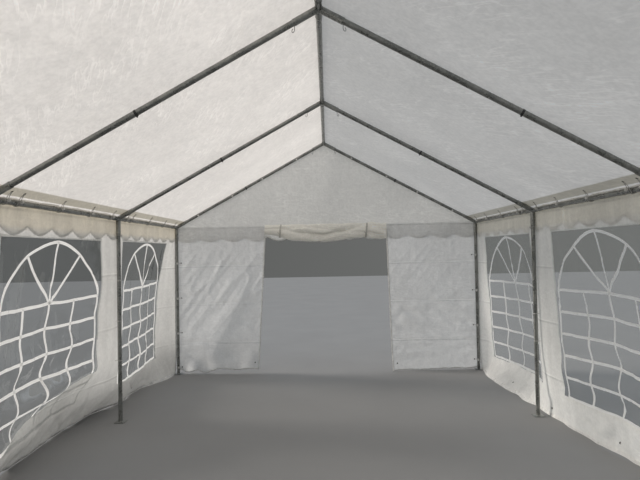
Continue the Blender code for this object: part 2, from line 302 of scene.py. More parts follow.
class Finish:
    """A node material under construction. Places are in metres in the tent's frame."""

    def __init__(self, name):
        self.material = bpy.data.materials.new(name)
        self.material.use_nodes = True
        self.tree = self.material.node_tree
        self.tree.nodes.clear()
        self.output = self.node("ShaderNodeOutputMaterial")
        self.place = self.node("ShaderNodeTexCoord").outputs["Object"]

    def node(self, kind, **settings):
        node = self.tree.nodes.new(kind)
        for key, value in settings.items():
            setattr(node, key, value)
        return node

    def feed(self, socket, value):
        if isinstance(value, bpy.types.NodeSocket):
            self.tree.links.new(value, socket)
        else:
            socket.default_value = value

    def math(self, operation, first, second=0.0, third=0.0):
        node = self.node("ShaderNodeMath", operation=operation)
        for socket, value in zip(node.inputs, (first, second, third)):
            self.feed(socket, value)
        return node.outputs[0]

    def times(self, first, second):
        return self.math("MULTIPLY", first, second)

    def scaled(self, factors, offset=(0, 0, 0), turn=(0, 0, 0)):
        """Places moved by the offset, turned, and then multiplied by the factors."""
        node = self.node("ShaderNodeMapping", vector_type="TEXTURE")
        self.feed(node.inputs["Vector"], self.place)
        node.inputs["Location"].default_value = offset
        node.inputs["Rotation"].default_value = [math.radians(angle) for angle in turn]
        node.inputs["Scale"].default_value = [1 / factor for factor in factors]
        return node.outputs[0]

    def moved(self, offset):
        """Places moved by an offset, so that one noise differs from another."""
        return self.scaled((1, 1, 1), offset)

    def noise(self, where, scale, detail=2.0, roughness=0.5, distortion=0.0):
        node = self.node("ShaderNodeTexNoise")
        self.feed(node.inputs["Vector"], where)
        node.inputs["Scale"].default_value = scale
        node.inputs["Detail"].default_value = detail
        node.inputs["Roughness"].default_value = roughness
        node.inputs["Distortion"].default_value = distortion
        return node.outputs["Fac"]

    def ramp(self, value, low, high, from_low=0.0, from_high=1.0):
        node = self.node("ShaderNodeMapRange", interpolation_type="SMOOTHSTEP")
        self.feed(node.inputs["Value"], value)
        node.inputs["From Min"].default_value = from_low
        node.inputs["From Max"].default_value = from_high
        node.inputs["To Min"].default_value = low
        node.inputs["To Max"].default_value = high
        return node.outputs[0]

    def blend(self, share, first, second):
        node = self.node("ShaderNodeMix", data_type="RGBA")
        self.feed(node.inputs["Factor"], share)
        self.feed(node.inputs["A"], (*first, 1) if isinstance(first, tuple) else first)
        self.feed(node.inputs["B"], (*second, 1) if isinstance(second, tuple) else second)
        return node.outputs["Result"]

    def bump(self, height, distance, strength=1.0, normal=None):
        node = self.node("ShaderNodeBump")
        self.feed(node.inputs["Height"], height)
        node.inputs["Distance"].default_value = distance
        node.inputs["Strength"].default_value = strength
        if normal is not None:
            self.feed(node.inputs["Normal"], normal)
        return node.outputs[0]

    def principled(self, colour, roughness, normal=None, metallic=0.0, specular=0.5):
        node = self.node("ShaderNodeBsdfPrincipled")
        self.feed(node.inputs["Base Color"], (*colour, 1) if isinstance(colour, tuple) else colour)
        self.feed(node.inputs["Roughness"], roughness)
        node.inputs["Metallic"].default_value = metallic
        node.inputs["Specular IOR Level"].default_value = specular
        if normal is not None:
            self.feed(node.inputs["Normal"], normal)
        return node.outputs[0]

    def mix(self, share, first, second):
        node = self.node("ShaderNodeMixShader")
        self.feed(node.inputs[0], share)
        self.tree.links.new(first, node.inputs[1])
        self.tree.links.new(second, node.inputs[2])
        return node.outputs[0]

    def finish(self, shader):
        self.tree.links.new(shader, self.output.inputs["Surface"])
        return self.material


# Colours of light that comes through the cloth, with pairs for the left and the right. The pairs paint light
# and shade: the sunlit left wall gets a darker glow than the right, and the wall behind the valances a
# warmer, brighter glow.

EAVE_STRIP_GLOW = (0.43, 0.395, 0.32)
VALANCE_GLOW = (0.80, 0.765, 0.69)
PAINTED_WALL_GLOWS = ((0.62, 0.62, 0.605), (0.84, 0.83, 0.79))
PAINTED_UNDER_VALANCE_GLOWS = ((0.85, 0.80, 0.69), (0.99, 0.95, 0.83))

# Heights over which those colours change, and the width over which the sides meet, in metres

VALANCE_TOP = (1.971, 1.975)
EAVE_STRIP_BOTTOM = (1.996, 2.000)
EAVE_STRIP_TOP = (2.036, 2.044)
VALANCE_EDGE = (1.775, 1.83)
# Heights below which the walls' glow is painted darker on the left and brighter on the right, as painted
# ground light
GROUND_LIGHT_HEIGHTS = (0.12, 0.60)
SIDES_MEET = (-0.5, 0.5)

# Stretch and turn of the fine crinkles, by the plane that a cloth lies along. The crinkles are bumped and
# painted brighter along their lines, a painted highlight.

CRINKLES = {
    "xy": ((24, 3.2, 8), (0, 0, 30)),
    "xz": ((5.0, 8, 19), (0, 6, 0)),
    "yz": ((8, 6.0, 19), (8, 0, 0)),
}


def cloth_finish(
    name, colour, glow, through, plane,
    shine=0.42, eaves=False, folds=None, painted_crinkle_highlight=0.15, painted_streak_shade=0.0, painted_ground_light=(0.62, 0.62),
):
    """Coated woven sheeting: faint thread lines both ways, crumples, crinkles and fold lines.

    Plane names the two axes that the cloth lies along. Glow is the colour of light that comes
    through it, and through is the share of light that does. The folded side walls take their
    glow from PAINTED_WALL_GLOWS and PAINTED_UNDER_VALANCE_GLOWS instead: painted light and shade,
    darker on the sunlit left, brighter on the right, and warmer and brighter behind the valances.
    Eaves gives darker, browner light through the cloth in a strip along the roof's eaves and in its
    valances. Folds has the axis, start and spacing of the fold lines, which are painted: a painted
    highlight along each line and a painted shade line beside it. Painted_crinkle_highlight is how
    much brighter a crinkle is painted, a painted highlight; painted_streak_shade is the depth of
    soft upright painted shade; and painted_ground_light has the shares of glow at the ground, on
    the left and on the right: painted shade and light near the ground.
    """
    look = Finish(name)
    split = look.node("ShaderNodeSeparateXYZ")
    look.feed(split.inputs[0], look.place)
    axes = {"x": split.outputs[0], "y": split.outputs[1], "z": split.outputs[2]}

    threads = []
    for axis in plane:
        factors = [2.2 if other == axis else 60 for other in "xyz"]
        threads.append(look.noise(look.scaled(factors), 1.0, 2.0))
    weave = look.times(look.math("ADD", threads[0], threads[1]), 0.5)

    broad = look.noise(look.moved((3.1, 1.7, 0.4)), 0.9, 2.0)
    crumple = look.noise(look.moved((0.3, 5.1, 2.2)), 8.0, 4.0, 0.6, 0.5)
    dents = look.noise(look.moved((7.7, 0.2, 4.4)), 16.0, 2.0, 0.5, 0.2)
    factors, turn = CRINKLES[plane]
    crinkle = look.noise(look.scaled(factors, (1.9, 8.3, 5.5), turn), 1.0, 2.0, 0.5, 0.25)
    crinkle = look.math("ABSOLUTE", look.math("SUBTRACT", crinkle, 0.5))
    crinkle = look.ramp(crinkle, 1.0, 0.0, 0.0, 0.050)
    patches = look.noise(look.moved((2.9, 6.3, 8.8)), 2.3, 3.0, 0.6)
    crinkle = look.times(crinkle, look.ramp(patches, 0.12, 1.0, 0.44, 0.62))

    height = look.times(weave, 0.14)
    height = look.math("MULTIPLY_ADD", crinkle, 0.35, height)
    height = look.math("MULTIPLY_ADD", dents, 1.3, height)
    height = look.math("MULTIPLY_ADD", crumple, 3.4, height)

    grain = look.noise(look.moved((6.1, 3.3, 1.2)), 42.0, 1.0)
    woven = look.ramp(weave, 0.985, 1.015, 0.35, 0.65)
    tint = look.times(woven, look.ramp(grain, 0.972, 1.03, 0.3, 0.7))
    # Painted highlight: crinkle lines are painted brighter in the colour and the glow.
    tint = look.times(tint, look.math("MULTIPLY_ADD", crinkle, painted_crinkle_highlight, 1.0))
    tint = look.times(tint, look.ramp(broad, 0.955, 1.03, 0.35, 0.65))
    # Painted shade: soft upright streaks darken and lighten the colour and the glow.
    if painted_streak_shade:
        soft = look.noise(look.scaled((5.5, 5.5, 0.9), (5.2, 2.4, 1.1)), 1.0, 3.0, 0.55, 0.6)
        tint = look.times(tint, look.ramp(soft, 1.0 - painted_streak_shade, 1.0 + painted_streak_shade, 0.36, 0.64))
    if folds:
        axis, start, spacing = folds
        broken = look.ramp(look.noise(look.place, 1.7, 2.0), 0.25, 1.0, 0.38, 0.62)
        # Painted fold lines: a painted highlight along each crease and a painted shade line 16 mm lower;
        # only the highlight line is bumped too.
        for shift, width, strength in ((0.0, 0.011, 0.16), (-0.016, 0.015, -0.17)):
            offset = look.math("SUBTRACT", axes[axis], start + shift)
            away = look.math("PINGPONG", offset, spacing / 2)
            line = look.times(look.ramp(away, 1.0, 0.0, 0.0, width), broken)
            tint = look.times(tint, look.math("MULTIPLY_ADD", line, strength, 1.0))
            if strength > 0:
                height = look.math("MULTIPLY_ADD", line, 1.2, height)
    normal = look.bump(height, 0.0022)

    soiled = look.ramp(look.noise(look.place, 5.0, 4.0, 0.6), 0.0, 0.10, 0.55, 0.75)
    if "z" in plane:
        low = look.ramp(axes["z"], 0.28, 0.0, 0.0, 0.35)
        soiled = look.math("ADD", soiled, look.times(low, broad))
    dirt = look.blend(soiled, colour, tuple(part * 0.72 for part in colour))
    shade = look.node("ShaderNodeVectorMath", operation="SCALE")
    look.feed(shade.inputs[0], dirt)
    look.feed(shade.inputs["Scale"], tint)
    glowing = look.node("ShaderNodeVectorMath", operation="SCALE")
    glowing.inputs[0].default_value = glow
    # Darker, browner light through the cloth in a strip along the eaves and in the valances, set by height
    # alone.
    if eaves:
        valance = look.ramp(axes["z"], 1.0, 0.0, *VALANCE_TOP)
        strip = look.ramp(axes["z"], 0.0, 1.0, *EAVE_STRIP_BOTTOM)
        strip = look.times(strip, look.ramp(axes["z"], 1.0, 0.0, *EAVE_STRIP_TOP))
        shaded = look.blend(strip, glow, EAVE_STRIP_GLOW)
        look.feed(glowing.inputs[0], look.blend(valance, shaded, VALANCE_GLOW))
    # Painted light and shade: the side walls' glow is darker on the sunlit left and brighter on the right.
    if folds and plane == "yz":
        # Painted light: behind the valances the wall's glow is warmer and brighter, standing in for light
        # filtered through the valance.
        hidden = look.ramp(axes["z"], 0.0, 1.0, *VALANCE_EDGE)
        rightward = look.ramp(axes["x"], 0.0, 1.0, *SIDES_MEET)
        painted_wall_glow = look.blend(rightward, *PAINTED_WALL_GLOWS)
        painted_valance_glow = look.blend(rightward, *PAINTED_UNDER_VALANCE_GLOWS)
        look.feed(glowing.inputs[0], look.blend(hidden, painted_wall_glow, painted_valance_glow))
    shine_through = look.times(tint, look.ramp(dents, 0.965, 1.035, 0.35, 0.65))
    # Painted ground light: near the ground the glow is painted darker on the left and brighter on the right.
    if "z" in plane:
        lowest = look.ramp(axes["x"], *painted_ground_light, *SIDES_MEET)
        climb = look.ramp(axes["z"], 0.0, 1.0, *GROUND_LIGHT_HEIGHTS)
        painted_ground_share = look.math("MULTIPLY_ADD", look.math("SUBTRACT", 1.0, lowest), climb, lowest)
        shine_through = look.times(shine_through, painted_ground_share)
    look.feed(glowing.inputs["Scale"], shine_through)

    rough = look.ramp(dents, shine - 0.07, shine + 0.12, 0.3, 0.7)
    front = look.principled(shade.outputs[0], rough, normal, specular=0.45)
    behind = look.node("ShaderNodeBsdfTranslucent")
    look.feed(behind.inputs["Color"], glowing.outputs[0])
    look.feed(behind.inputs["Normal"], normal)
    return look.finish(look.mix(through, front, behind.outputs[0]))


def film_finish():
    """Clear soft film: see-through with a thin milky haze, smears and wavy reflections."""
    look = Finish("clear_film")
    waves = look.noise(look.scaled((1, 1.0, 1.6), (0.6, 2.2, 1.3)), 5.0, 2.0, 0.5, 0.6)
    crinkle = look.noise(look.moved((4.4, 0.7, 3.3)), 24.0, 2.0)
    height = look.math("MULTIPLY_ADD", crinkle, 0.12, waves)
    normal = look.bump(height, 0.0030)
    smears = look.noise(look.scaled((1, 1.0, 2.4), (1.4, 3.6, 0.9)), 3.2, 5.0, 0.62, 1.2)
    haze = look.ramp(smears, 0.008, 0.055, 0.42, 0.74)
    clear = look.node("ShaderNodeBsdfTransparent")
    clear.inputs["Color"].default_value = (0.925, 0.935, 0.93, 1)
    milk = look.principled((0.80, 0.82, 0.82), 0.5, normal, specular=0.3)
    gloss = look.node("ShaderNodeBsdfGlossy")
    gloss.inputs["Color"].default_value = (0.45, 0.46, 0.46, 1)
    gloss.inputs["Roughness"].default_value = 0.10
    look.feed(gloss.inputs["Normal"], normal)
    fresnel = look.node("ShaderNodeFresnel")
    fresnel.inputs["IOR"].default_value = 1.42
    hazy = look.mix(haze, clear.outputs[0], milk)
    mirrored = look.times(fresnel.outputs[0], 0.36)
    return look.finish(look.mix(mirrored, hazy, gloss.outputs[0]))


def strip_finish():
    """White bonded plastic strips with scuffs and a little light through them."""
    look = Finish("white_strip")
    wear = look.noise(look.place, 9.0, 4.0, 0.6)
    fine = look.noise(look.place, 90.0, 2.0)
    normal = look.bump(look.math("MULTIPLY_ADD", fine, 0.3, wear), 0.0012)
    worn = look.ramp(wear, 0.0, 1.0, 0.45, 0.75)
    colour = look.blend(worn, (0.94, 0.94, 0.93), (0.80, 0.80, 0.78))
    front = look.principled(colour, look.ramp(fine, 0.28, 0.46, 0.3, 0.7), normal)
    behind = look.node("ShaderNodeBsdfTranslucent")
    behind.inputs["Color"].default_value = (0.97, 0.97, 0.97, 1)
    return look.finish(look.mix(0.46, front, behind.outputs[0]))


def steel_finish():
    """Dull galvanised tube with spangle, grey stains and rub marks."""
    look = Finish("galvanised_tube")
    spangle = look.node("ShaderNodeTexVoronoi")
    look.feed(spangle.inputs["Vector"], look.moved((0.2, 0.4, 0.1)))
    spangle.inputs["Scale"].default_value = 85.0
    grain = look.node("ShaderNodeSeparateXYZ")
    look.feed(grain.inputs[0], spangle.outputs["Color"])
    stain = look.noise(look.moved((2.5, 1.1, 0.6)), 11.0, 4.0, 0.65, 0.4)
    fine = look.noise(look.place, 160.0, 2.0)
    stained = look.ramp(stain, 0.0, 0.7, 0.3, 0.72)
    share = look.math("MULTIPLY_ADD", grain.outputs[0], 0.35, stained)
    colour = look.blend(share, (0.165, 0.172, 0.165), (0.325, 0.33, 0.315))
    chalk = look.ramp(look.noise(look.place, 5.5, 5.0, 0.7), 0.0, 0.55, 0.58, 0.78)
    colour = look.blend(chalk, colour, (0.50, 0.50, 0.48))
    rough = look.ramp(stain, 0.22, 0.38, 0.3, 0.7)
    height = look.math("MULTIPLY_ADD", stain, 1.4, look.times(fine, 0.35))
    normal = look.bump(height, 0.0007)
    return look.finish(look.principled(colour, rough, normal, metallic=0.82))


def small_finish(name, dark, light, roughness, scale, metallic=0.0):
    """Mottled finish for cords, balls, rings, eyelets and hooks."""
    look = Finish(name)
    mottle = look.noise(look.place, scale, 3.0, 0.6)
    ribs = look.noise(look.place, scale * 9, 1.0)
    colour = look.blend(look.ramp(mottle, 0.0, 1.0, 0.35, 0.65), dark, light)
    normal = look.bump(look.math("MULTIPLY_ADD", ribs, 0.6, mottle), 0.0008)
    rough = look.ramp(ribs, roughness - 0.06, roughness + 0.1, 0.3, 0.7)
    return look.finish(look.principled(colour, rough, normal, metallic=metallic))


ROOF_CLOTH = cloth_finish(
    "roof_sheeting", (0.91, 0.90, 0.88), (0.90, 0.865, 0.83), 0.55, "xy",
    shine=0.36, eaves=True, painted_crinkle_highlight=0.12,
)
GABLE_CLOTH = cloth_finish(
    "gable_sheeting", (0.90, 0.90, 0.88), (0.80, 0.795, 0.77), 0.47, "xz", painted_crinkle_highlight=0.10,
)
# Side walls: glow painted darker on the left and brighter on the right, with painted ground light, painted
# streak shade and painted fold lines.
SIDE_CLOTH = cloth_finish(
    "side_sheeting", (0.90, 0.90, 0.88), PAINTED_WALL_GLOWS[0], 0.40, "yz",
    folds=("z", 0.41, 0.51), painted_crinkle_highlight=0.06, painted_streak_shade=0.05, painted_ground_light=(0.30, 1.10),
)
# End walls: painted fold lines, and glow painted darker low on the left and brighter low on the right.
END_CLOTH = cloth_finish(
    "end_sheeting", (0.90, 0.90, 0.90), (0.79, 0.80, 0.80), 0.45, "xz",
    folds=("z", 0.41, 0.515), painted_crinkle_highlight=0.08, painted_ground_light=(0.80, 1.10),
)
ROLL_CLOTH = cloth_finish(
    "rolled_sheeting", (0.96, 0.94, 0.87), (0.90, 0.86, 0.77), 0.04, "xz", painted_ground_light=(1.0, 1.0),
)
TRIM = strip_finish()
HEM_TAPE = cloth_finish(
    "hem_sheeting", (0.90, 0.90, 0.88), (0.95, 0.95, 0.93), 0.25, "yz", shine=0.28,
)
RAIL_HEM = cloth_finish(
    "rail_hem_sheeting", (0.88, 0.87, 0.84), (0.97, 0.94, 0.88), 0.46, "yz", shine=0.24,
)
FILM = film_finish()
STEEL = steel_finish()
TIE = small_finish("tie_webbing", (0.46, 0.45, 0.41), (0.66, 0.64, 0.59), 0.70, 90.0)
CORD = small_finish("elastic_cord", (0.30, 0.30, 0.29), (0.62, 0.61, 0.58), 0.62, 120.0)
BALL = small_finish("cord_ball", (0.50, 0.50, 0.49), (0.72, 0.71, 0.69), 0.30, 60.0)
BLACK = small_finish("black_plastic", (0.012, 0.012, 0.013), (0.035, 0.035, 0.037), 0.4, 60.0)
DARK_METAL = small_finish("eyelet_metal", (0.05, 0.05, 0.05), (0.14, 0.14, 0.13), 0.4, 90.0, 0.8)
WIRE = small_finish("hook_wire", (0.16, 0.16, 0.16), (0.32, 0.32, 0.31), 0.35, 90.0, 0.85)


# Steel frame

def sleeve_profile(length, start=0.0):
    """Sleeve from its joint to its open end, with a rolled rim and the bore's mouth."""
    return [
        (start, SLEEVE_RADIUS),
        (length - 0.010, SLEEVE_RADIUS),
        (length - 0.0085, SLEEVE_RADIUS + 0.0006),
        (length - 0.0025, SLEEVE_RADIUS + 0.0006),
        (length - 0.0006, SLEEVE_RADIUS),
        (length, SLEEVE_RADIUS - 0.0010),
        (length, BORE_RADIUS + 0.0002),
        (length - 0.012, BORE_RADIUS + 0.0002),
    ]


def weld_bead(shape, joint, arm, rail, seed):
    """Wavy weld where a sleeve along arm meets an equal sleeve along rail."""
    joint = np.asarray(joint, float)
    arm = np.asarray(arm, float) / np.linalg.norm(arm)
    rail = np.asarray(rail, float)
    third = np.cross(rail, arm)
    angles = np.linspace(0, 2 * math.pi, 60, endpoint=False)
    wobble = np.random.default_rng(seed).uniform(-1, 1, 60)
    path = []
    for angle, slip in zip(angles, wobble):
        outward = third * math.cos(angle) + rail * math.sin(angle)
        along = SLEEVE_RADIUS * abs(math.sin(angle)) + 0.0006 * slip
        path.append(joint + arm * (along + 0.0006) + outward * SLEEVE_RADIUS)
    radii = 0.0024 + 0.0005 * np.sin(angles * 17) + 0.0002 * wobble
    sweep(shape, path, radii, 8, closed=True)


def slope_down(side):
    """Unit vector from the ridge down the rafters of a side."""
    return np.array([side * math.cos(SLOPE), 0, -math.sin(SLOPE)])


def rail_ends(y):
    """How far the sleeves along the tent reach before and behind a frame."""
    before = 0.0 if y <= FRAME_YS[0] else RAIL_ARM
    behind = 0.0 if y >= FRAME_YS[-1] else RAIL_ARM
    return before, behind


def add_rail_sleeves(shape, joint, y):
    for reach, direction in zip(rail_ends(y), (-1, 1)):
        if reach:
            lathe(shape, joint, (0, direction, 0), sleeve_profile(reach), caps=(True, False))


def add_eave_connector(side_name, side, number, y):
    joint = (side * HALF_WIDTH, y, EAVE)
    up_slope = -slope_down(side)
    shape = Shape()
    add_rail_sleeves(shape, joint, y)
    lathe(shape, joint, (0, 0, -1), sleeve_profile(LEG_ARM), caps=(True, False))
    lathe(shape, joint, up_slope, sleeve_profile(RAFTER_ARM), caps=(True, False))
    ball(shape, joint, SLEEVE_RADIUS, 28, 14)
    weld_bead(shape, joint, (0, 0, -1), (0, 1, 0), 100 * number + side)
    weld_bead(shape, joint, up_slope, (0, 1, 0), 200 * number + side)
    node = f"{side_name}_eave_connector_{number}"
    add_piece(f"{node}_finished", shape, STEEL, [node], sharp=40)


def add_apex_connector(number, y):
    joint = (0, y, RIDGE)
    shape = Shape()
    add_rail_sleeves(shape, joint, y)
    for side in SIDES.values():
        lathe(shape, joint, slope_down(side), sleeve_profile(RAFTER_ARM), caps=(True, False))
        weld_bead(shape, joint, slope_down(side), (0, 1, 0), 300 * number + side)
    ball(shape, joint, SLEEVE_RADIUS, 28, 14)
    node = f"apex_connector_{number}"
    add_piece(f"{node}_finished", shape, STEEL, [node], sharp=40)


def tube_profile(start, end, joint=None):
    """Plain tube with softened ends, and a narrow groove where two lengths push together."""
    soft = 0.0012
    profile = [(start, TUBE_RADIUS - soft), (start + soft, TUBE_RADIUS)]
    if joint is not None:
        profile += [
            (joint - 0.0020, TUBE_RADIUS),
            (joint - 0.0010, TUBE_RADIUS - 0.0009),
            (joint + 0.0010, TUBE_RADIUS - 0.0009),
            (joint + 0.0020, TUBE_RADIUS),
        ]
    profile += [(end - soft, TUBE_RADIUS), (end, TUBE_RADIUS - soft)]
    return profile


def add_tube(node, origin, direction, start, end, joint=None):
    shape = Shape()
    lathe(shape, origin, direction, tube_profile(start, end, joint), 32)
    add_piece(f"{node}_finished", shape, STEEL, [node], sharp=40)


def rounded_square(half, corner, steps=5):
    """Outline of a plate with round corners."""
    outline = []
    for quarter in range(4):
        middle = math.pi / 4 + quarter * math.pi / 2
        ways = (math.cos(middle), math.sin(middle))
        centre = np.array([math.copysign(half - corner, way) for way in ways])
        for step in range(steps + 1):
            angle = quarter * math.pi / 2 + step / steps * math.pi / 2
            outline.append(centre + corner * np.array([math.cos(angle), math.sin(angle)]))
    return outline


def add_leg(side_name, side, number, y):
    foot = np.array([side * HALF_WIDTH, y, 0.0])
    shape = Shape()
    soft = 0.0008
    levels = [(soft, 0), (0, soft), (0, FOOT_TOP - soft), (soft, FOOT_TOP)]
    rings = []
    for inset, height in levels:
        outline = rounded_square(FOOT_HALF - inset, 0.010)
        rings.append([foot + (point[0], point[1], height) for point in outline])
    index = shape.add_grid(rings, closed=True)
    shape.add_cap(index[0], flip=True)
    shape.add_cap(index[-1])
    lathe(shape, foot, (0, 0, 1), tube_profile(FOOT_TOP - 0.001, EAVE - LEG_ARM + SOCKET_DEPTH), 32)
    bead = [
        (FOOT_TOP - 0.0005, TUBE_RADIUS + 0.0045),
        (FOOT_TOP + 0.002, TUBE_RADIUS + 0.0032),
        (FOOT_TOP + 0.005, TUBE_RADIUS - 0.0002),
    ]
    lathe(shape, foot, (0, 0, 1), bead, 32)
    node = f"{side_name}_leg_{number}"
    add_piece(f"{node}_finished", shape, STEEL, [node], sharp=40)


def build_steel():
    tuck = SOCKET_DEPTH - 0.004
    for number, y in enumerate(FRAME_YS, 1):
        add_apex_connector(number, y)
        for side_name, side in SIDES.items():
            add_eave_connector(side_name, side, number, y)
            add_leg(side_name, side, number, y)
            start = RAFTER_ARM - tuck
            end = RAFTER_SPAN - start
            down = slope_down(side)
            add_tube(f"{side_name}_rafter_{number}", (0, y, RIDGE), down, start, end, RAFTER_SPAN / 2)
    for number, y in enumerate(FRAME_YS[:-1], 1):
        start = RAIL_ARM - tuck
        end = BAY_LENGTH - start
        add_tube(f"ridge_pole_{number}", (0, y, RIDGE), (0, 1, 0), start, end)
        for side_name, side in SIDES.items():
            origin = (side * HALF_WIDTH, y, EAVE)
            add_tube(f"{side_name}_eave_rail_{number}", origin, (0, 1, 0), start, end)


# Roof cover and gables

def roof_height(x):
    """Height of the roof sheet before it sags."""
    lift = ROOF_LIFT / math.cos(SLOPE)
    rounded = np.sqrt(np.asarray(x, float) ** 2 + RIDGE_ROUNDING ** 2)
    return RIDGE + lift - math.tan(SLOPE) * rounded


def scallop_edge(places, half_span, lobes):
    """Height of a valance's lower edge, in lobes with cusps between them."""
    lobe = (places + half_span) / (2 * half_span) * lobes
    return VALANCE_BOTTOM + SCALLOP_DEPTH * (1 - np.abs(np.sin(np.pi * lobe)))


def bay_swell(y):
    """0 at the frames and 1 in the middle of each bay."""
    return np.sin(np.pi * (y + HALF_LENGTH) / 2) ** 2


def roof_slack(away, y, side):
    """How far the roof sheet lies off its plane, outwards, at a distance down from the ridge."""
    half_run = VALANCE_X / math.cos(SLOPE)
    free = rise(away, 0.0, 0.22) * rise(half_run - away, 0.01, 0.24)
    between = bay_swell(y)
    held = rise(between, 0.0, 0.06)
    seed = 11 if side < 0 else 12
    sag = -0.011 * between * np.sin(np.pi * away / half_run) ** 0.8
    long_waves = 0.0035 * turned_noise(y, away, 62 * side, 0.9, 0.26, seed)
    small_waves = 0.0016 * turned_noise(y, away, 25 * side, 0.30, 0.11, seed + 20)
    dimples = 0.0008 * soft_noise(y / 0.07 + 9, away / 0.07 + 9, seed + 40)
    sharp = 0.0027 * ridges(turned_noise(y, away, -40 * side, 0.45, 0.19, seed + 60), 0.50)
    pulls = 0.0027 * ridges(turned_noise(y, away, 70 * side, 0.8, 0.24, seed + 80), 0.45)
    waves = (long_waves + small_waves + dimples + sharp + pulls) * (0.35 + 0.65 * held)
    waves = np.where(held < 1, np.maximum(waves, -0.0010 - 0.01 * held), waves)
    return (sag + waves) * free


def roof_cover_sheet():
    columns = LOBES_ALONG * COLUMNS_PER_LOBE + 1
    ys = np.linspace(-ROOF_END_Y, ROOF_END_Y, columns)
    corner_z = float(roof_height(VALANCE_X))
    turn = 0.0040
    slope_end = VALANCE_X - turn * math.cos(SLOPE)
    near_ridge = [0.0, 0.004, 0.010, 0.020]
    slope_xs = np.concatenate([near_ridge, np.linspace(0.04, slope_end, 91)])
    bottoms = scallop_edge(ys, ROOF_END_Y, LOBES_ALONG)
    halves = {}
    for side in (-1, 1):
        rows = []
        for x in slope_xs:
            away = x / math.cos(SLOPE)
            slack = roof_slack(away, ys, side)
            across = side * (x + slack * math.sin(SLOPE))
            height = roof_height(x) + slack * math.cos(SLOPE)
            rows.append(np.stack([across + 0 * ys, ys, height + 0 * ys], axis=-1))
        corner = np.array([VALANCE_X, corner_z])
        start = corner + turn * np.array([-math.cos(SLOPE), math.sin(SLOPE)])
        end = corner - (0, turn)
        for share in (0.25, 0.5, 0.75, 1.0):
            point = start * (1 - share) ** 2 + corner * 2 * share * (1 - share) + end * share ** 2
            rows.append(np.stack([side * point[0] + 0 * ys, ys, point[1] + 0 * ys], axis=-1))
        top = corner_z - turn
        for share in np.linspace(0, 1, 12)[1:]:
            height = top + (bottoms - top) * share
            curl = 0.5 + 0.5 * soft_noise(ys / 0.21 + 5, share * 0.8 + 0 * ys, 31 + side)
            lobe = np.abs(np.sin(np.pi * (ys + ROOF_END_Y) / (2 * ROOF_END_Y) * LOBES_ALONG))
            out = 0.0025 * share + share ** 1.4 * (0.009 * curl + 0.004 * lobe)
            ripple = 0.0015 * share * soft_noise(ys / 0.07 + 3, share * 2 + 0 * ys, 35 + side)
            rows.append(np.stack([side * (VALANCE_X + out + ripple + 0.001 * share), ys, height], axis=-1))
        halves[side] = rows
    grid = np.stack(halves[-1][::-1] + halves[1][1:])
    shape = Shape()
    shape.add_grid(grid)
    piece = add_piece("roof_sheet", shape, ROOF_CLOTH, ["roof_cover"])
    left_band = (grid[0], grid[1], (-1, 0, 0))
    right_band = (grid[-1], grid[-2], (1, 0, 0))
    trim = add_hems("valance_binding", "roof_cloth", left_band, right_band)


def add_gable(end_name, end, seed):
    columns = LOBES_ACROSS * COLUMNS_PER_LOBE + 1
    xs = np.linspace(-GABLE_HALF, GABLE_HALF, columns)
    tops = roof_height(xs) - 0.0012 / math.cos(SLOPE)
    bottoms = scallop_edge(xs, GABLE_HALF, LOBES_ACROSS)
    rows = []
    for share in np.linspace(0, 1, 58):
        height = tops + (bottoms - tops) * share
        free = rise(tops - height, 0.0, 0.25)
        waves = 0.5 + 0.5 * turned_noise(xs, height, 70, 0.7, 0.28, seed)
        dents = 0.5 + 0.5 * turned_noise(xs, height, 10, 0.25, 0.12, seed + 5)
        loose = rise(-height, -1.95, -VALANCE_BOTTOM)
        curl = 0.5 + 0.5 * soft_noise(xs / 0.22 + 7, 0.4 + 0 * xs, seed + 9)
        out = free * (0.006 * waves + 0.002 * dents) + loose * 0.012 * curl
        rows.append(np.stack([xs, end * (GABLE_Y + out), height], axis=-1))
    grid = np.stack(rows)
    shape = Shape()
    shape.add_grid(grid)
    piece = add_piece(
        f"{end_name}_gable_sheet", shape, GABLE_CLOTH, [f"{end_name}_gable_panel"]
    )
    band = (grid[-1], grid[-1] + (0, 0, 0.018), (0, end, 0))
    trim = add_hems(f"{end_name}_gable_binding", "roof_cloth", band)


# Side walls

# How far a side wall stands out at each height, in metres, and the share of it along a bay

LEAN_HEIGHTS = (0.28, 0.48, 0.66, 0.85, 1.05, 1.24, 1.45, 1.62, 1.74, 1.80)
BELLY = (0.170, 0.182, 0.178, 0.166, 0.150, 0.126, 0.085, 0.052, 0.014, 0.0)
BESIDE_LEGS = (0.060, 0.045, 0.026, 0.015, 0.008, 0.002, 0.0, 0.0, 0.0, 0.0)
BAY_PLACES = (0.0, 0.2, 0.58, 0.925, 1.27, 1.615, 1.85, 1.98)
EVEN_BAY = (0.0, 0.35, 1.08, 1.0, 0.72, 0.24, 0.05, 0.0)
LATE_BAY = (0.0, 0.25, 0.40, 0.55, 0.80, 0.95, 0.70, 0.0)
BELLIES = {
    -1: ((EVEN_BAY, 0.90), (EVEN_BAY, 0.85), (EVEN_BAY, 0.75), (LATE_BAY, 1.0)),
    1: ((EVEN_BAY, 0.80), (EVEN_BAY, 0.95), (EVEN_BAY, 1.0), (EVEN_BAY, 1.05)),
}
RIPPLE_HEIGHTS = (0.2, 0.45, 0.68, 0.86, 1.05, 1.3, 1.5)
RIPPLES = (0.034, 0.046, 0.038, 0.022, 0.010, 0.004, 0.0)
RIPPLE_SHARES = {-1: (0.8, 1.0, 1.0, 0.30), 1: (0.4, 0.5, 0.42, 0.30)}
RIPPLE_PITCH = 0.34
RIPPLE_CREST = 0.70

# Reach of each side's lower edge, and the slack cloth and sag along the tent, in metres

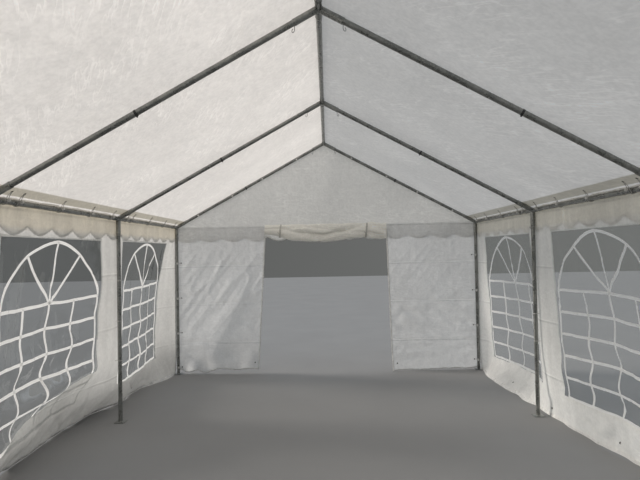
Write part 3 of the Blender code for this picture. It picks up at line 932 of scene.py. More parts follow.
HEM_PLACES = {
    -1: (-4.02, -3.6, -3.0, -2.2, -1.4, -0.6, 0.2, 1.0, 1.7, 2.2, 2.6, 3.3, 3.54, 3.68, 4.02),
    1: (-4.02, -3.5, -3.0, -2.2, -1.5, -0.8, 0.0, 0.8, 1.2, 1.5, 2.0, 2.6, 3.1, 3.55, 4.02),
}
HEM_REACHES = {
    -1: (0.03, 0.18, 0.29, 0.35, 0.37, 0.33, 0.38, 0.42, 0.425, 0.39, 0.24, 0.235, 0.12, 0.04, 0.02),
    1: (0.03, 0.06, 0.13, 0.20, 0.24, 0.22, 0.26, 0.23, 0.16, 0.13, 0.08, 0.03, -0.01, -0.05, 0.02),
}
TUCK_PLACES = (-4.0, -3.3, -2.8, -2.3, -1.9, -1.5, 0.3, 0.58, 0.925, 1.27, 1.615, 1.82, 2.02, 2.2, 2.45, 4.0)
TUCKS = {
    -1: (0.0, 0.0, 0.10, 0.16, 0.06, 0.0, 0.0, 0.05, 0.120, 0.255, 0.290, 0.25, 0.12, 0.03, 0.0, 0.0),
    1: (0.0, 0.03, 0.02, 0.02, 0.03, 0.01, 0.0, 0.01, 0.02, 0.01, 0.02, 0.03, 0.02, 0.01, 0.0, 0.0),
}
DEEPEST_TUCK = 0.29
LARGEST_REACH = 0.425
SAG_PLACES = (-4.0, -3.0, -1.0, 0.0, 0.9, 1.7, 2.3, 3.0, 3.6, 4.0)
SAGS = {
    -1: (0.0, 0.01, 0.01, 0.0, 0.0, 0.0, 0.0, 0.0, 0.0, 0.0),
    1: (0.0, 0.02, 0.01, 0.01, 0.0, 0.025, 0.03, 0.040, 0.052, 0.03),
}


def from_frame(y):
    """Distance along the tent to the nearest frame."""
    return np.abs((y + 1) % 2 - 1)


def from_hold(y):
    """Distance along the tent to the nearest frame or end of a side wall."""
    return np.minimum(from_frame(y), HALF_LENGTH + 0.02 - np.abs(y))


def per_bay(y, levels):
    """A level for each bay, read along the tent with soft steps at the frames."""
    return soft_line(y, BAY_CENTRES, levels, 0.4)


def belly_share(side, y):
    """How much of the full belly a side wall has, from bay to bay."""
    places = []
    shares = []
    for start, (shape, scale) in zip(FRAME_YS, BELLIES[side]):
        places.extend(start + offset for offset in BAY_PLACES)
        shares.extend(scale * share for share in shape)
    return soft_line(y, places, shares, 0.07)


def tuck_height(side, y):
    """How high the slack skirt stands up inside the film's lower edge."""
    tuck = soft_line(y, TUCK_PLACES, TUCKS[side], 0.08)
    crumples = np.maximum(0, soft_noise(y / 0.14 + 2, 0 * y, 77 + side))
    return tuck + 0.010 * crumples * rise(bay_swell(y), 0.1, 0.5)


def wall_lean(side, y, z):
    """How far a side wall bellies out past its line, at and above the sill."""
    share = belly_share(side, y)
    inside = rise(HALF_LENGTH - np.abs(y), 0.0, 0.15)
    beside = soft_line(z, LEAN_HEIGHTS, BESIDE_LEGS, 0.05) * (1 - np.minimum(share, 1)) * inside
    belly = soft_line(z, LEAN_HEIGHTS, BELLY, 0.05) * share
    slump = 0.17 * np.minimum(1, tuck_height(side, y) / DEEPEST_TUCK) * rise(-z, -0.62, -0.26)
    swell = bay_swell(y) ** 1.3
    drift = 1.0 * soft_noise(y / 0.6 + 11, z / 0.9 + 3, 51 + side)
    depth = soft_line(z, RIPPLE_HEIGHTS, RIPPLES, 0.05) * per_bay(y, RIPPLE_SHARES[side])
    ripple = depth * swell * np.cos(2 * np.pi * (z - RIPPLE_CREST) / RIPPLE_PITCH + drift)
    between = rise(from_frame(y), 0.02, 0.25)
    low = rise(-z, -1.75, -1.30)
    folds = 0.009 * low * between * turned_noise(y, z, 84, 0.8, 0.10, 53 + side)
    folds = folds + 0.006 * low * between * ridges(turned_noise(y, z, 62 * side, 0.7, 0.14, 59 + side), 0.25)
    slack = 0.012 * low * between * soft_noise(y / 0.33 + 7, z / 0.5 + 5, 55 + side)
    small = 0.0022 * rise(-z, -1.95, -1.6) * between * soft_noise(y / 0.08 + 3, z / 0.09, 57 + side)
    return np.maximum(belly + beside + slump + ripple + folds + slack + small, -0.0015 + 0 * belly)


def hem_line(side, y):
    """Reach and height of a side wall's lower edge."""
    reach = soft_line(y, HEM_PLACES[side], HEM_REACHES[side], 0.10)
    inside = rise(from_frame(y), 0.0, 0.3) * rise(HALF_LENGTH - np.abs(y), 0.0, 0.3)
    reach = reach + inside * 0.020 * soft_noise(y / 0.23 + 13, 0.3 + 0 * y, 61 + side)
    lifts = np.maximum(0, soft_noise(y / 0.19 + 17, 0.7 + 0 * y, 63 + side)) ** 1.2
    height = 0.003 + 0.020 * inside * lifts
    return np.minimum(reach, LARGEST_REACH), height


def wall_points(side, y, share):
    """Points of a side wall. Share is 0 at the window head, 1 at the sill and 2 at the hem."""
    y, share = np.broadcast_arrays(np.asarray(y, float), np.asarray(share, float))
    upper = np.minimum(share, 1)
    z = WINDOW_HEAD + (WINDOW_SILL - WINDOW_HEAD) * upper
    lean = wall_lean(side, y, z)
    fall = np.maximum(share - 1, 0)
    reach, height = hem_line(side, y)
    sill_lean = wall_lean(side, y, np.full_like(y, WINDOW_SILL))
    out = lean + (reach - sill_lean) * fall ** 1.25
    z = np.where(fall > 0, height + (WINDOW_SILL - height) * (1 - fall) ** 1.12, z)
    free = np.sin(np.pi * np.clip(fall, 0, 1)) * rise(HALF_LENGTH - np.abs(y), 0.02, 0.3)
    folds = 0.020 * turned_noise(y, fall * 0.35, 60 * side, 0.5, 0.13, 71 + side)
    folds = folds + 0.016 * ridges(turned_noise(y, fall * 0.35, -35 * side, 0.6, 0.2, 73 + side), 0.25)
    out = out + free * folds
    z = z + free * 0.5 * folds + free * 0.006
    z = z - soft_line(y, SAG_PLACES, SAGS[side], 0.1) * rise(-z, -1.72, -1.30) * rise(z, 0.02, 0.24)
    return np.stack([side * (WALL_X + out), y, np.maximum(z, 0.0025)], axis=-1)


def wall_columns():
    """Places along a side wall, with the window edges among them."""
    edges = [-WALL_END_Y]
    for centre in BAY_CENTRES:
        edges += [centre + WINDOW_SHIFT - WINDOW_HALF, centre + WINDOW_SHIFT + WINDOW_HALF]
    edges.append(WALL_END_Y)
    places = [edges[0]]
    windowed = []
    for number, (start, end) in enumerate(zip(edges, edges[1:])):
        cells = max(4, round((end - start) / 0.0225))
        places.extend(np.linspace(start, end, cells + 1)[1:])
        windowed.extend([number % 2 == 1] * cells)
    return np.array(places), np.array(windowed)


# Loops' places along a bay in metres, and the share of the wrap round the rail that is hem

RAIL_LOOPS = (0.16, 0.31, 0.84, 1.36, 1.81)
TOP_OF_HEM = 0.72

# The loose hem's line, as (towards the inside, upwards) from the rail's axis in metres

LOOSE_HEM = (
    (0.0300, 0.0285), (0.0310, 0.0250), (0.0290, 0.0225), (0.0255, 0.0208),
    (0.0215, 0.0196), (0.0170, 0.0195), (0.0122, 0.0203), (0.0058, 0.0221),
    (-0.0050, 0.0224), (-0.0145, 0.0175), (-0.0205, 0.0097), (-0.0226, 0.0),
)


def hem_fullness(y):
    """How loosely the top hem lies on the rail. Loops pinch it and frames flatten it."""
    full = 0.78 + 0.22 * soft_noise(y / 0.11 + 3, 0 * y, 66)
    for bay in FRAME_YS[:-1]:
        for offset in RAIL_LOOPS:
            full = full * (1 - 0.45 * np.exp(-((y - bay - offset) / 0.035) ** 2))
    return full * rise(from_hold(y), 0.05, 0.16)


def rail_wrap(side, y, start, end, count):
    """Rows of the wall's top hem round the eave rail, from its free edge at 0 to the wall at 1."""
    loose = np.array(LOOSE_HEM)
    steps = np.linspace(0, 1, len(loose))
    first = np.maximum(start, TOP_OF_HEM * (1 - rise(from_hold(y), 0.040, 0.075)))
    full = hem_fullness(y)
    rows = []
    for share in np.linspace(0, 1, count):
        place = first + (end - first) * share
        angle = np.radians(50 + 130 * place)
        tight = RAIL_HEM_RADIUS * np.stack([np.cos(angle), np.sin(angle)], axis=-1)
        wide = np.stack([np.interp(place, steps, loose[:, axis]) for axis in (0, 1)], axis=-1)
        offset = tight + (wide - tight) * full[:, None]
        rows.append(np.stack([side * (HALF_WIDTH - offset[:, 0]), y, EAVE + offset[:, 1]], axis=-1))
    return rows


# Rows of faces beside the windows and in the skirt

WINDOW_ROWS = 65
SKIRT_ROWS = 18


def add_side_wall(side_name, side):
    ys, windowed = wall_columns()
    rows = rail_wrap(side, ys, TOP_OF_HEM, 1.0, 7)
    band_heights = np.linspace(EAVE, WINDOW_HEAD, 11)[1:-1]
    for height in band_heights:
        lean = wall_lean(side, ys, np.full_like(ys, height))
        step_out = WALL_X - HALF_WIDTH - RAIL_HEM_RADIUS
        x = HALF_WIDTH + RAIL_HEM_RADIUS + step_out * rise(-height, -EAVE, -1.88)
        rows.append(np.stack([side * (x + lean), ys, height + 0 * ys], axis=-1))
    head_row = len(rows)
    shares = np.concatenate(
        [np.linspace(0, 1, WINDOW_ROWS + 1), np.linspace(1, 2, SKIRT_ROWS + 1)[1:]]
    )
    sill_row = head_row + WINDOW_ROWS
    tuck = tuck_height(side, ys)
    for number, share in enumerate(shares):
        below = number - WINDOW_ROWS
        near = rise(np.array(1 - abs(below) / (30 if below < 0 else 10)), 0.0, 1.0)
        lifted = share - tuck / (WINDOW_HEAD - WINDOW_SILL) * near
        points = wall_points(side, ys, lifted)
        points[:, 0] -= side * 0.014 * near * np.minimum(1, tuck / 0.03)
        rows.append(points)
    grid = np.stack(rows)
    keep = np.ones((len(grid) - 1, len(ys) - 1), bool)
    keep[head_row:sill_row] = ~windowed[None, :]
    shape = Shape()
    shape.add_grid(grid, keep=keep)
    piece = add_piece(
        f"{side_name}_wall_sheet", shape, SIDE_CLOTH, [f"{side_name}_side_wall"]
    )

    bottom = add_hems(
        f"{side_name}_wall_hem",
        "wall_cloth",
        (grid[-1], grid[-3], (side * 0.5, 0, 0.85)),
        (grid[:, 0], grid[:, 1], (side, 0, 0)),
        (grid[:, -1], grid[:, -2], (side, 0, 0)),
    )

    tape = Shape()
    fine = np.linspace(-WALL_END_Y, WALL_END_Y, 700)
    tape.add_grid(rail_wrap(side, fine, 0.0, TOP_OF_HEM + 0.04, 18))
    band = add_piece(f"{side_name}_rail_hem", tape, RAIL_HEM)


def film_points(side, y, z, lift):
    """Points on the film at heights between its sill and head, lifted inwards from the wall."""
    share = (WINDOW_HEAD - z) / (WINDOW_HEAD - WINDOW_SILL)
    points = wall_points(side, y, np.clip(share, 0, 1.06))
    points[..., 0] -= side * lift
    above = np.maximum(z - WINDOW_HEAD, 0)
    points[..., 2] += above
    return points


def inside_arch(across, height):
    """Whether a point above the springing line lies inside the strips' arch."""
    sideways = (abs(across) / PATTERN_HALF) ** ARCH_POWER
    return sideways + (abs(height) / ARCH_RISE) ** ARCH_POWER < 1


def strip_lines():
    """Centre lines of one window's white strips, as (along the wall from its middle, height)."""
    lines = []
    turn = np.linspace(0, math.pi, 90)
    power = 2 / ARCH_POWER
    across = np.sign(np.cos(turn)) * np.abs(np.cos(turn)) ** power * PATTERN_HALF
    height = SPRING_HEIGHT + np.abs(np.sin(turn)) ** power * ARCH_RISE
    lines.append(np.stack([across, height], axis=-1))
    foot = BAR_HEIGHTS[-1]
    for place in (-1, -0.5, 0, 0.5, 1):
        steps = np.linspace(SPRING_HEIGHT, foot, 60)
        lines.append(np.stack([place * PATTERN_HALF + 0 * steps, steps], axis=-1))
    for level in BAR_HEIGHTS:
        steps = np.linspace(-PATTERN_HALF, PATTERN_HALF, 80)
        lines.append(np.stack([steps, level + 0 * steps], axis=-1))
    for degrees in (45, 90, 135):
        angle = math.radians(degrees)
        direction = np.array([math.cos(angle), math.sin(angle)])
        reach = 0.0
        while inside_arch(*(reach * direction)):
            reach += 0.002
        steps = np.linspace(0, reach, 40)[:, None]
        lines.append(np.array([0, SPRING_HEIGHT]) + steps * direction)
    return lines


def add_window(side_name, side, number, centre):
    ys = np.linspace(-WINDOW_HALF - WINDOW_LAP, WINDOW_HALF + WINDOW_LAP, 84) + centre
    zs = np.linspace(WINDOW_HEAD + WINDOW_LAP, WINDOW_SILL - WINDOW_LAP, 84)
    grid = film_points(side, ys[None, :], zs[:, None], 0.0015)
    shape = Shape()
    shape.add_grid(grid)
    film = add_piece(
        f"{side_name}_film_{number}", shape, FILM, [f"{side_name}_window_film"]
    )
    ribbon = Shape()
    seed = 300 + 10 * number + side
    half = STRIP_WIDTH / 2
    for order, line in enumerate(strip_lines()):
        along = np.gradient(line, axis=0)
        along /= np.linalg.norm(along, axis=1)[:, None]
        across = np.stack([-along[:, 1], along[:, 0]], axis=-1)
        drift = 0.007 * soft_noise(line[:, 0] / 0.21 + 9, line[:, 1] / 0.21 + order, seed)
        middle = line + across * drift[:, None]
        width = half * (1 + 0.06 * soft_noise(line[:, 0] / 0.05, line[:, 1] / 0.05 + order, seed + 1))
        rows = []
        order_lift = 0.0002 * (order % 3)
        for share, lift in ((-1, 0.0019), (-0.9, 0.0030), (0.9, 0.0030), (1, 0.0019)):
            edge = middle + across * (share * width)[:, None]
            z = np.clip(edge[:, 1], WINDOW_SILL - 0.015, WINDOW_HEAD + 0.015)
            rows.append(film_points(side, edge[:, 0] + centre, z, lift + order_lift))
        ribbon.add_grid(np.stack(rows))
    strips = add_piece(f"{side_name}_window_strips_{number}", ribbon, TRIM, sharp=50)


# End walls and rolled doors

DOOR_HEAD = 1.90
HEAD_LEVELS = (1.9635, 1.932, DOOR_HEAD)
END_SEEDS = {-1: 91, 1: 81}
LEFT_HEM_PLACES = (-2.03, -1.95, -1.88, -1.74, -1.63, -1.45, -1.20, -0.92)
LEFT_HEM_HEIGHTS = (0.05, 0.058, 0.012, 0.048, 0.016, 0.062, 0.050, 0.056)
RIGHT_HEM_PLACES = (0.86, 1.08, 1.42, 1.70, 1.85, 2.03)
RIGHT_HEM_HEIGHTS = (0.006, 0.012, 0.010, 0.022, 0.010, 0.024)
FOLD_LEVELS = ((1.44, 0.0065), (0.93, 0.0075), (0.41, 0.0105))
LONG_FOLD = ((-1.08, 1.15), (-1.62, 0.14))
POCKET_CENTRE = (-1.26, 0.27)
POCKET_SIZE = (0.24, 0.11)
DEEPEST_INWARD = 0.075


def off_line(x, z, start, finish):
    """How far points lie along a line and off its left side."""
    line = np.array(finish) - start
    line /= np.linalg.norm(line)
    run = (x - start[0]) * line[0] + (z - start[1]) * line[1]
    return run, (z - start[1]) * line[0] - (x - start[0]) * line[1]


def door_edge(z, side):
    """Place of a doorway's upright edge. The wall panels spread towards the ground."""
    fall = 1 - np.asarray(z, float) / 1.93
    if side < 0:
        return -(0.80 + 0.12 * fall)
    return 0.812 + 0.050 * fall


def end_belly(x, z, seed):
    """How far an end wall stands off its plane, outwards. Inwards is below zero."""
    left = x < 0
    inner = np.where(left, door_edge(z, -1), door_edge(z, 1))
    share = np.clip((END_HALF - np.abs(x)) / (END_HALF - np.abs(inner)), 0, 1)
    held = rise(share, 0.0, 0.16) * rise(-z, -1.93, -1.72)
    billow = 0.022 * np.sin(np.pi * share * 0.85) * np.sin(np.pi * np.clip(z / EAVE, 0, 1))
    high = rise(-z, -1.8, -1.4) * rise(z, 0.3, 0.8)
    slanted = 0.0056 * turned_noise(x, z, 54, 0.40, 0.050, seed) * high
    slanted = slanted + 0.010 * ridges(turned_noise(x, z, 50, 0.6, 0.11, seed + 2), 0.34) * high
    cross_waves = 0.0058 * turned_noise(x, z, 4, 0.45, 0.070, seed + 4)
    broken = 0.0075 * turned_noise(x, z, -28, 0.22, 0.085, seed + 14)
    broken = broken * rise(-np.abs(z - 0.66), -0.45, -0.15)
    waves = slanted * np.where(left, 1.0, 0.33) + broken * np.where(left, 0.6, 1.2)
    waves = waves + cross_waves * np.where(left, 0.8, 1.0) * rise(-z, -1.2, -0.5)
    creases = 0
    for level, size in FOLD_LEVELS:
        droop = 0.030 * rise(0.60 - level, 0.0, 0.15) * np.sin(np.pi * share)
        drop = np.where(left, 0, droop)
        bend = level - drop + 0.010 * soft_noise(x / 0.3 + 4, 0 * x + level, seed + 6)
        creases = creases - size * np.exp(-((z - bend) / 0.013) ** 2) * np.where(left, 1.0, 0.7)
    run, off = off_line(x, z, *LONG_FOLD)
    along = rise(run, -0.25, 0.25) * rise(-run, -1.20, -0.95)
    fold = np.where(left, 0.036 * along * np.exp(-(off / np.where(off > 0, 0.075, 0.26)) ** 2), 0)
    across = (x - POCKET_CENTRE[0]) / POCKET_SIZE[0]
    upward = (z - POCKET_CENTRE[1]) / POCKET_SIZE[1]
    pocket = np.exp(-across ** 2 - upward ** 2)
    fold = fold - np.where(left, 0.042 * pocket, 0)
    low = rise(-z, -0.34, -0.02)
    curl = np.where(left, -0.060 * soft_noise(x / 0.15 + 3, z / 0.35, seed + 8), -0.014)
    curl = curl + np.where(left, 0, -0.035 * rise(-x, -1.9, -0.9))
    small = 0.0018 * soft_noise(x / 0.06 + 3, z / 0.06 + 3, seed + 12)
    free = waves + creases + billow + fold + low * curl + small
    return np.maximum(free * held, -DEEPEST_INWARD)


def end_hem(x, seed):
    """Height of an end wall's lower edge."""
    left = soft_line(x, LEFT_HEM_PLACES, LEFT_HEM_HEIGHTS, 0.03)
    right = soft_line(x, RIGHT_HEM_PLACES, RIGHT_HEM_HEIGHTS, 0.05)
    wave = 0.004 * soft_noise(x / 0.09 + 2, 0 * x, seed)
    return np.maximum(np.where(x < 0, left, right) + wave, 0.003)


def add_end_wall(end_name, end, seed):
    """The rear wall as the photograph shows it. The front wall is the same, half turned."""
    panel = np.linspace(0, 1, 76)
    head = np.linspace(0, 1, 66)[1:-1]
    rows = []
    levels = [(level, None) for level in HEAD_LEVELS]
    levels += [(None, share) for share in np.linspace(0, 1, 140)[1:]]
    for level, share in levels:
        height = DOOR_HEAD * (1 - share) if level is None else level
        left_edge = float(door_edge(height, -1))
        right_edge = float(door_edge(height, 1))
        left_x = -END_HALF + (left_edge + END_HALF) * panel
        head_x = left_edge + (right_edge - left_edge) * head
        right_x = right_edge + (END_HALF - right_edge) * panel
        x = np.concatenate([left_x, head_x, right_x])
        if level is None:
            z = DOOR_HEAD + (end_hem(x, seed) - DOOR_HEAD) * share
        else:
            z = level + 0 * x
        out = end_belly(x, z, seed)
        rows.append(np.stack([end * x, end * (END_Y + out), z], axis=-1))
    grid = np.stack(rows)
    columns = grid.shape[1]
    keep = np.ones((len(grid) - 1, columns - 1), bool)
    first = len(panel) - 1
    last = first + len(head) + 1
    keep[2:, first:last] = False
    shape = Shape()
    shape.add_grid(grid, keep=keep)
    piece = add_piece(
        f"{end_name}_wall_sheet", shape, END_CLOTH, [f"{end_name}_end_wall"]
    )
    trim = add_hems(
        f"{end_name}_wall_hem",
        "wall_cloth",
        (grid[2:, first], grid[2:, first - 1], (0, 1, 0)),
        (grid[2:, last], grid[2:, last + 1], (0, 1, 0)),
        (grid[-1, :first + 1], grid[-2, :first + 1], (0, 1, 0)),
        (grid[-1, last:], grid[-2, last:], (0, 1, 0)),
    )


ROLL_PLACES = (-0.82, -0.66, -0.58, -0.45, -0.03, 0.29, 0.50, 0.545, 0.60, 0.68, 0.82)
ROLL_BOTTOMS = (1.835, 1.822, 1.790, 1.742, 1.718, 1.752, 1.766, 1.782, 1.765, 1.752, 1.758)
ROLL_TOP = 1.968
ROLL_TURNS = 5.75
ROLL_CORE = 0.12
ROLL_GAP = 0.004
ROLL_HALF_LENGTH = 0.808
ROLL_TIES = (0.545, -0.60)


def roll_half_depth(half_height):
    return 0.030 + 0.24 * half_height


def add_rolled_door(end_name, end, seed):
    """Door cloth rolled up under the doorway's head. It sags in the middle between its ties."""
    xs = np.linspace(-ROLL_HALF_LENGTH, ROLL_HALF_LENGTH, 96)
    bottoms = soft_line(xs, ROLL_PLACES, ROLL_BOTTOMS, 0.02)
    half_height = (ROLL_TOP - bottoms) / 2
    middle_z = ROLL_TOP - half_height
    half_depth = roll_half_depth(half_height)
    from_middle = xs + 0.03
    valley = -0.36 + np.where(from_middle > 0, 2.6 * from_middle, -1.6 * from_middle)
    fade = rise(-np.abs(from_middle), -0.62, -0.30)
    second = 0.95 - 1.5 * np.abs(xs + 0.30)
    bunch = rise(xs, 0.54, 0.60)
    rows = []
    steps = int(ROLL_TURNS * 40)
    for step in range(steps + 1):
        turned = step / steps * ROLL_TURNS
        share = ROLL_CORE + (1 - ROLL_CORE) * turned / ROLL_TURNS
        angle = 2 * math.pi * (turned - ROLL_TURNS) + math.pi / 2
        facing = math.cos(angle)
        upward = math.sin(angle)
        wrap = angle + 2 * math.pi * round(-angle / (2 * math.pi))
        past = wrap - valley
        dents = 0.68 * fade * np.exp(-(past / np.where(past > 0, 0.20, 0.50)) ** 2)
        dents = dents + 0.22 * np.exp(-((wrap - second) / 0.18) ** 2)
        dents = dents + 0.22 * bunch * (0.5 + 0.5 * np.cos(5 * wrap + 24 * xs)) - 0.12 * bunch
        waves = 0.06 * turned_noise(xs, 0.12 * wrap + 0 * xs, 20, 0.5, 0.05, seed)
        size = share * (1 + waves - dents)
        y = END_Y - ROLL_GAP - half_depth * (1 + size * facing)
        z = middle_z + half_height * size * upward
        rows.append(np.stack([end * xs, end * y, z], axis=-1))
    grid = np.stack(rows)
    shape = Shape()
    shape.add_grid(grid)
    piece = add_piece(
        f"{end_name}_door_roll", shape, ROLL_CLOTH, [f"{end_name}_rolled_door"]
    )

    ties = Shape()
    for place in ROLL_TIES:
        bottom = float(soft_line(place, ROLL_PLACES, ROLL_BOTTOMS, 0.02))
        high = (ROLL_TOP - bottom) / 2
        deep = roll_half_depth(high)
        angles = np.linspace(0, 2 * math.pi, 48, endpoint=False)
        rings = []
        for offset, swell in ((-0.011, 0.0015), (-0.010, 0.0035), (0.010, 0.0035), (0.011, 0.0015)):
            y = END_Y - ROLL_GAP - deep * (1 + np.cos(angles)) - swell * np.cos(angles)
            z = ROLL_TOP - high + (high + swell) * np.sin(angles)
            lean = place + offset + 0.010 * np.sin(angles)
            rings.append(np.stack([end * lean, end * y, z], axis=-1))
        ties.add_grid(np.stack(rings), closed=True)
        knot_y = end * (END_Y - 0.012 - 2 * deep)
        knot = np.array([end * (place - 0.02), knot_y, ROLL_TOP - 1.35 * high])
        tail = []
        for step in np.linspace(-1.4, 2.2, 12):
            fall = -0.010 * step + 0.002 * step * step
            tail.append(knot + np.array([end * 0.010 * step, -end * 0.004 * math.sin(step), fall]))
        sweep(ties, tail, 0.0035, 8)
    tied = add_piece(f"{end_name}_door_ties", ties, TIE, sharp=60)


# Fastenings

CORNER_TIES = (1.50, 1.03, 0.566, 0.11)
GABLE_TIES = (0.187, 0.418, 0.62, 0.851)
CLIP_SHARES = {
    (-1, 0.0): 0.55, (1, 0.0): 0.595,
    (-1, 2.0): 0.492, (1, 2.0): 0.47,
    (-1, 4.0): 0.527, (1, 4.0): 0.473,
}
UNSEEN_CLIP_SHARE = 0.48
LEG_BANDS = {-1: (1.36, 0.97, 0.59), 1: (0.97, 0.71)}
HOOK_DROP = 0.075
HOOK_STRAIGHT = 0.35
CORNER_EYELET_X = 1.952
TOP_LOOP_HEIGHT = 1.80
TOP_TOGGLE_HEIGHT = 1.795
SKIRT_EYELETS = (-3.05, -2.06, -1.02, -0.05, 1.0, 1.96, 2.96)
SKIRT_EYELET_SHARE = 1.70
DOOR_EYELETS = ((-0.972, 0.135), (0.922, 0.098))

# A rail loop's route, as (towards the inside, upwards) from the rail's axis in metres

LOOP_ROUTE = (
    (0.058, 0.0575), (0.053, 0.0500), (0.045, 0.0420), (0.037, 0.0300),
    (0.031, 0.0160), (0.0265, 0.0020), (0.0215, -0.0110), (0.0120, -0.0205),
    (-0.0010, -0.0235), (-0.0125, -0.0195), (-0.0195, -0.0110),
)


def roof_normal(side):
    """Unit vector square to a roof slope, upwards."""
    return np.array([side * math.sin(SLOPE), 0, math.cos(SLOPE)])


def add_fastenings(cords, balls, rings, holes, tie_name, eyelet_name):
    """The four pieces of a row of loops with their toggles and eyelets."""
    add_piece(f"{tie_name}_cords", cords, CORD)
    add_piece(f"{tie_name}_balls", balls, BALL)
    add_piece(f"{eyelet_name}s", rings, DARK_METAL, sharp=50)
    add_piece(f"{eyelet_name}_holes", holes, BLACK)


def add_eyelet(shape, hole, centre, facing, radius=0.0085):
    """Pressed metal ring with a dark opening, facing into the tent."""
    facing = np.asarray(facing, float) / np.linalg.norm(facing)
    centre = np.asarray(centre, float)
    profile = [
        (0.0000, radius),
        (0.0012, radius - 0.0004),
        (0.0019, radius - 0.0020),
        (0.0014, radius - 0.0036),
        (0.0002, radius - 0.0042),
    ]
    lathe(shape, centre, facing, profile, 20, caps=(False, False))
    lathe(hole, centre + facing * 0.0004, facing, [(0, radius - 0.003), (0.0002, radius - 0.0042)], 16)


def add_rail_loops(side_name, side):
    """Elastic loops from the roof's eyelets round the wall's hem and the eave rail."""
    cords, balls, rings, holes = (Shape() for _ in range(4))
    shuffle = np.random.default_rng(401 + side)
    steps = np.linspace(0, 1, len(LOOP_ROUTE))
    fine = np.linspace(0, 1, 24)
    corners = np.array(LOOP_ROUTE)
    route = np.stack([soft_line(fine, steps, corners[:, axis], 0.03) for axis in (0, 1)], axis=-1)
    for bay in FRAME_YS[:-1]:
        for offset in RAIL_LOOPS:
            y = bay + offset + shuffle.uniform(-0.012, 0.012)
            slide = shuffle.uniform(-0.02, 0.02)
            for sign in (-1, 1):
                spread = 0.009 + shuffle.uniform(0, 0.008)
                slip = sign * spread * np.sin(np.pi * fine) + slide * fine
                x = side * (HALF_WIDTH - route[:, 0])
                sweep(cords, np.stack([x, y + slip, EAVE + route[:, 1]], axis=-1), 0.0021, 8)
            ball(balls, (side * (HALF_WIDTH - 0.041), y + 0.3 * slide, EAVE + 0.004), 0.0115)
            under = -roof_normal(side)
            mouth_x = side * (HALF_WIDTH - LOOP_ROUTE[0][0])
            mouth = np.array([mouth_x, y, float(roof_height(mouth_x))])
            add_eyelet(rings, holes, mouth + under * 0.0012, under, 0.0090)
    rail = f"{side_name}_rail"
    add_fastenings(cords, balls, rings, holes, rail, f"{rail}_eyelet")


def add_corner_ties():
    """Loops through the end walls' eyelets and round the corner legs."""
    cords, balls, rings, holes = (Shape() for _ in range(4))
    for end in ENDS.values():
        for side in SIDES.values():
            for height in CORNER_TIES:
                z = height + 0.02 * side
                x = side * CORNER_EYELET_X
                out = float(end_belly(np.array(end * x), np.array(z), END_SEEDS[end]))
                wall_y = end * (END_Y + out)
                add_eyelet(rings, holes, (x, wall_y - end * 0.001, z), (0, -end, 0))
                path = [np.array([x, wall_y - end * 0.003, z])]
                centre = np.array([side * HALF_WIDTH, end * HALF_LENGTH, z])
                for degrees in np.linspace(20, 215, 14):
                    angle = math.radians(degrees)
                    ring = np.array([-side * math.cos(angle), -end * math.sin(angle), 0.0])
                    slant = (0, 0, 0.010 * math.sin(angle * 1.3))
                    path.append(centre + ring * (TUBE_RADIUS + 0.0022) + slant)
                sweep(cords, path, 0.0026, 8)
                ball(balls, centre + (-side * 0.012, -end * (TUBE_RADIUS + 0.0115), -0.004), 0.0125)
    add_fastenings(cords, balls, rings, holes, "corner_tie", "corner_eyelet")


def add_gable_ties():
    """Loops that hold the gables' slanted edges to the end rafters."""
    cords = Shape()
    balls = Shape()
    for end in ENDS.values():
        for side in SIDES.values():
            down = slope_down(side)
            lift = roof_normal(side)
            for share in GABLE_TIES:
                centre = np.array([0, end * HALF_LENGTH, RIDGE]) + down * RAFTER_SPAN * share
                path = []
                for degrees in np.linspace(0, 360, 24, endpoint=False):
                    angle = math.radians(degrees)
                    ring = lift * math.cos(angle) + np.array([0, 1, 0]) * math.sin(angle)
                    path.append(centre + ring * (TUBE_RADIUS + 0.0019) + down * 0.006 * math.sin(angle))
                sweep(cords, path, 0.0018, 8, closed=True)
                inward = np.array([0, -end * (TUBE_RADIUS + 0.0105), 0])
                ball(balls, centre - lift * 0.012 + inward, 0.0125)
    add_piece("gable_tie_cords", cords, CORD)
    add_piece("gable_tie_balls", balls, BALL)


def add_leg_bands():
    """Elastic bands round the inner legs, with a loop out to the wall behind."""
    bands = Shape()
    balls = Shape()
    for side in SIDES.values():
        for y in FRAME_YS[1:-1]:
            for height in LEG_BANDS[side]:
                profile = [
                    (-0.0050, TUBE_RADIUS - 0.0002),
                    (-0.0045, TUBE_RADIUS + 0.0011),
                    (0.0045, TUBE_RADIUS + 0.0011),
                    (0.0050, TUBE_RADIUS - 0.0002),
                ]
                lathe(bands, (side * HALF_WIDTH, y, height), (0, 0, 1), profile, 28)
                lean = float(wall_lean(side, np.array(y + 0.012), np.array(height)))
                start = np.array([side * (HALF_WIDTH + TUBE_RADIUS), y + 0.004, height])
                end = np.array([side * (WALL_X + lean - 0.001), y + 0.014, height - 0.006])
                path = [start * (1 - share) + end * share for share in np.linspace(0, 1, 6)]
                sweep(bands, path, 0.0018, 8)
            toggle = np.array([side * (HALF_WIDTH - 0.029), y - 0.012, TOP_TOGGLE_HEIGHT])
            ball(balls, toggle, 0.0115)
            loop = []
            for degrees in np.linspace(-70, 200, 16):
                angle = math.radians(degrees)
                ring = np.array([-side * math.cos(angle), -math.sin(angle), 0])
                centre = np.array([side * HALF_WIDTH, y, TOP_LOOP_HEIGHT])
                loop.append(centre + (TUBE_RADIUS + 0.0020) * ring)
            sweep(bands, loop, 0.0019, 8)
    add_piece("leg_bands", bands, CORD, sharp=60)
    add_piece("leg_band_toggles", balls, BALL)


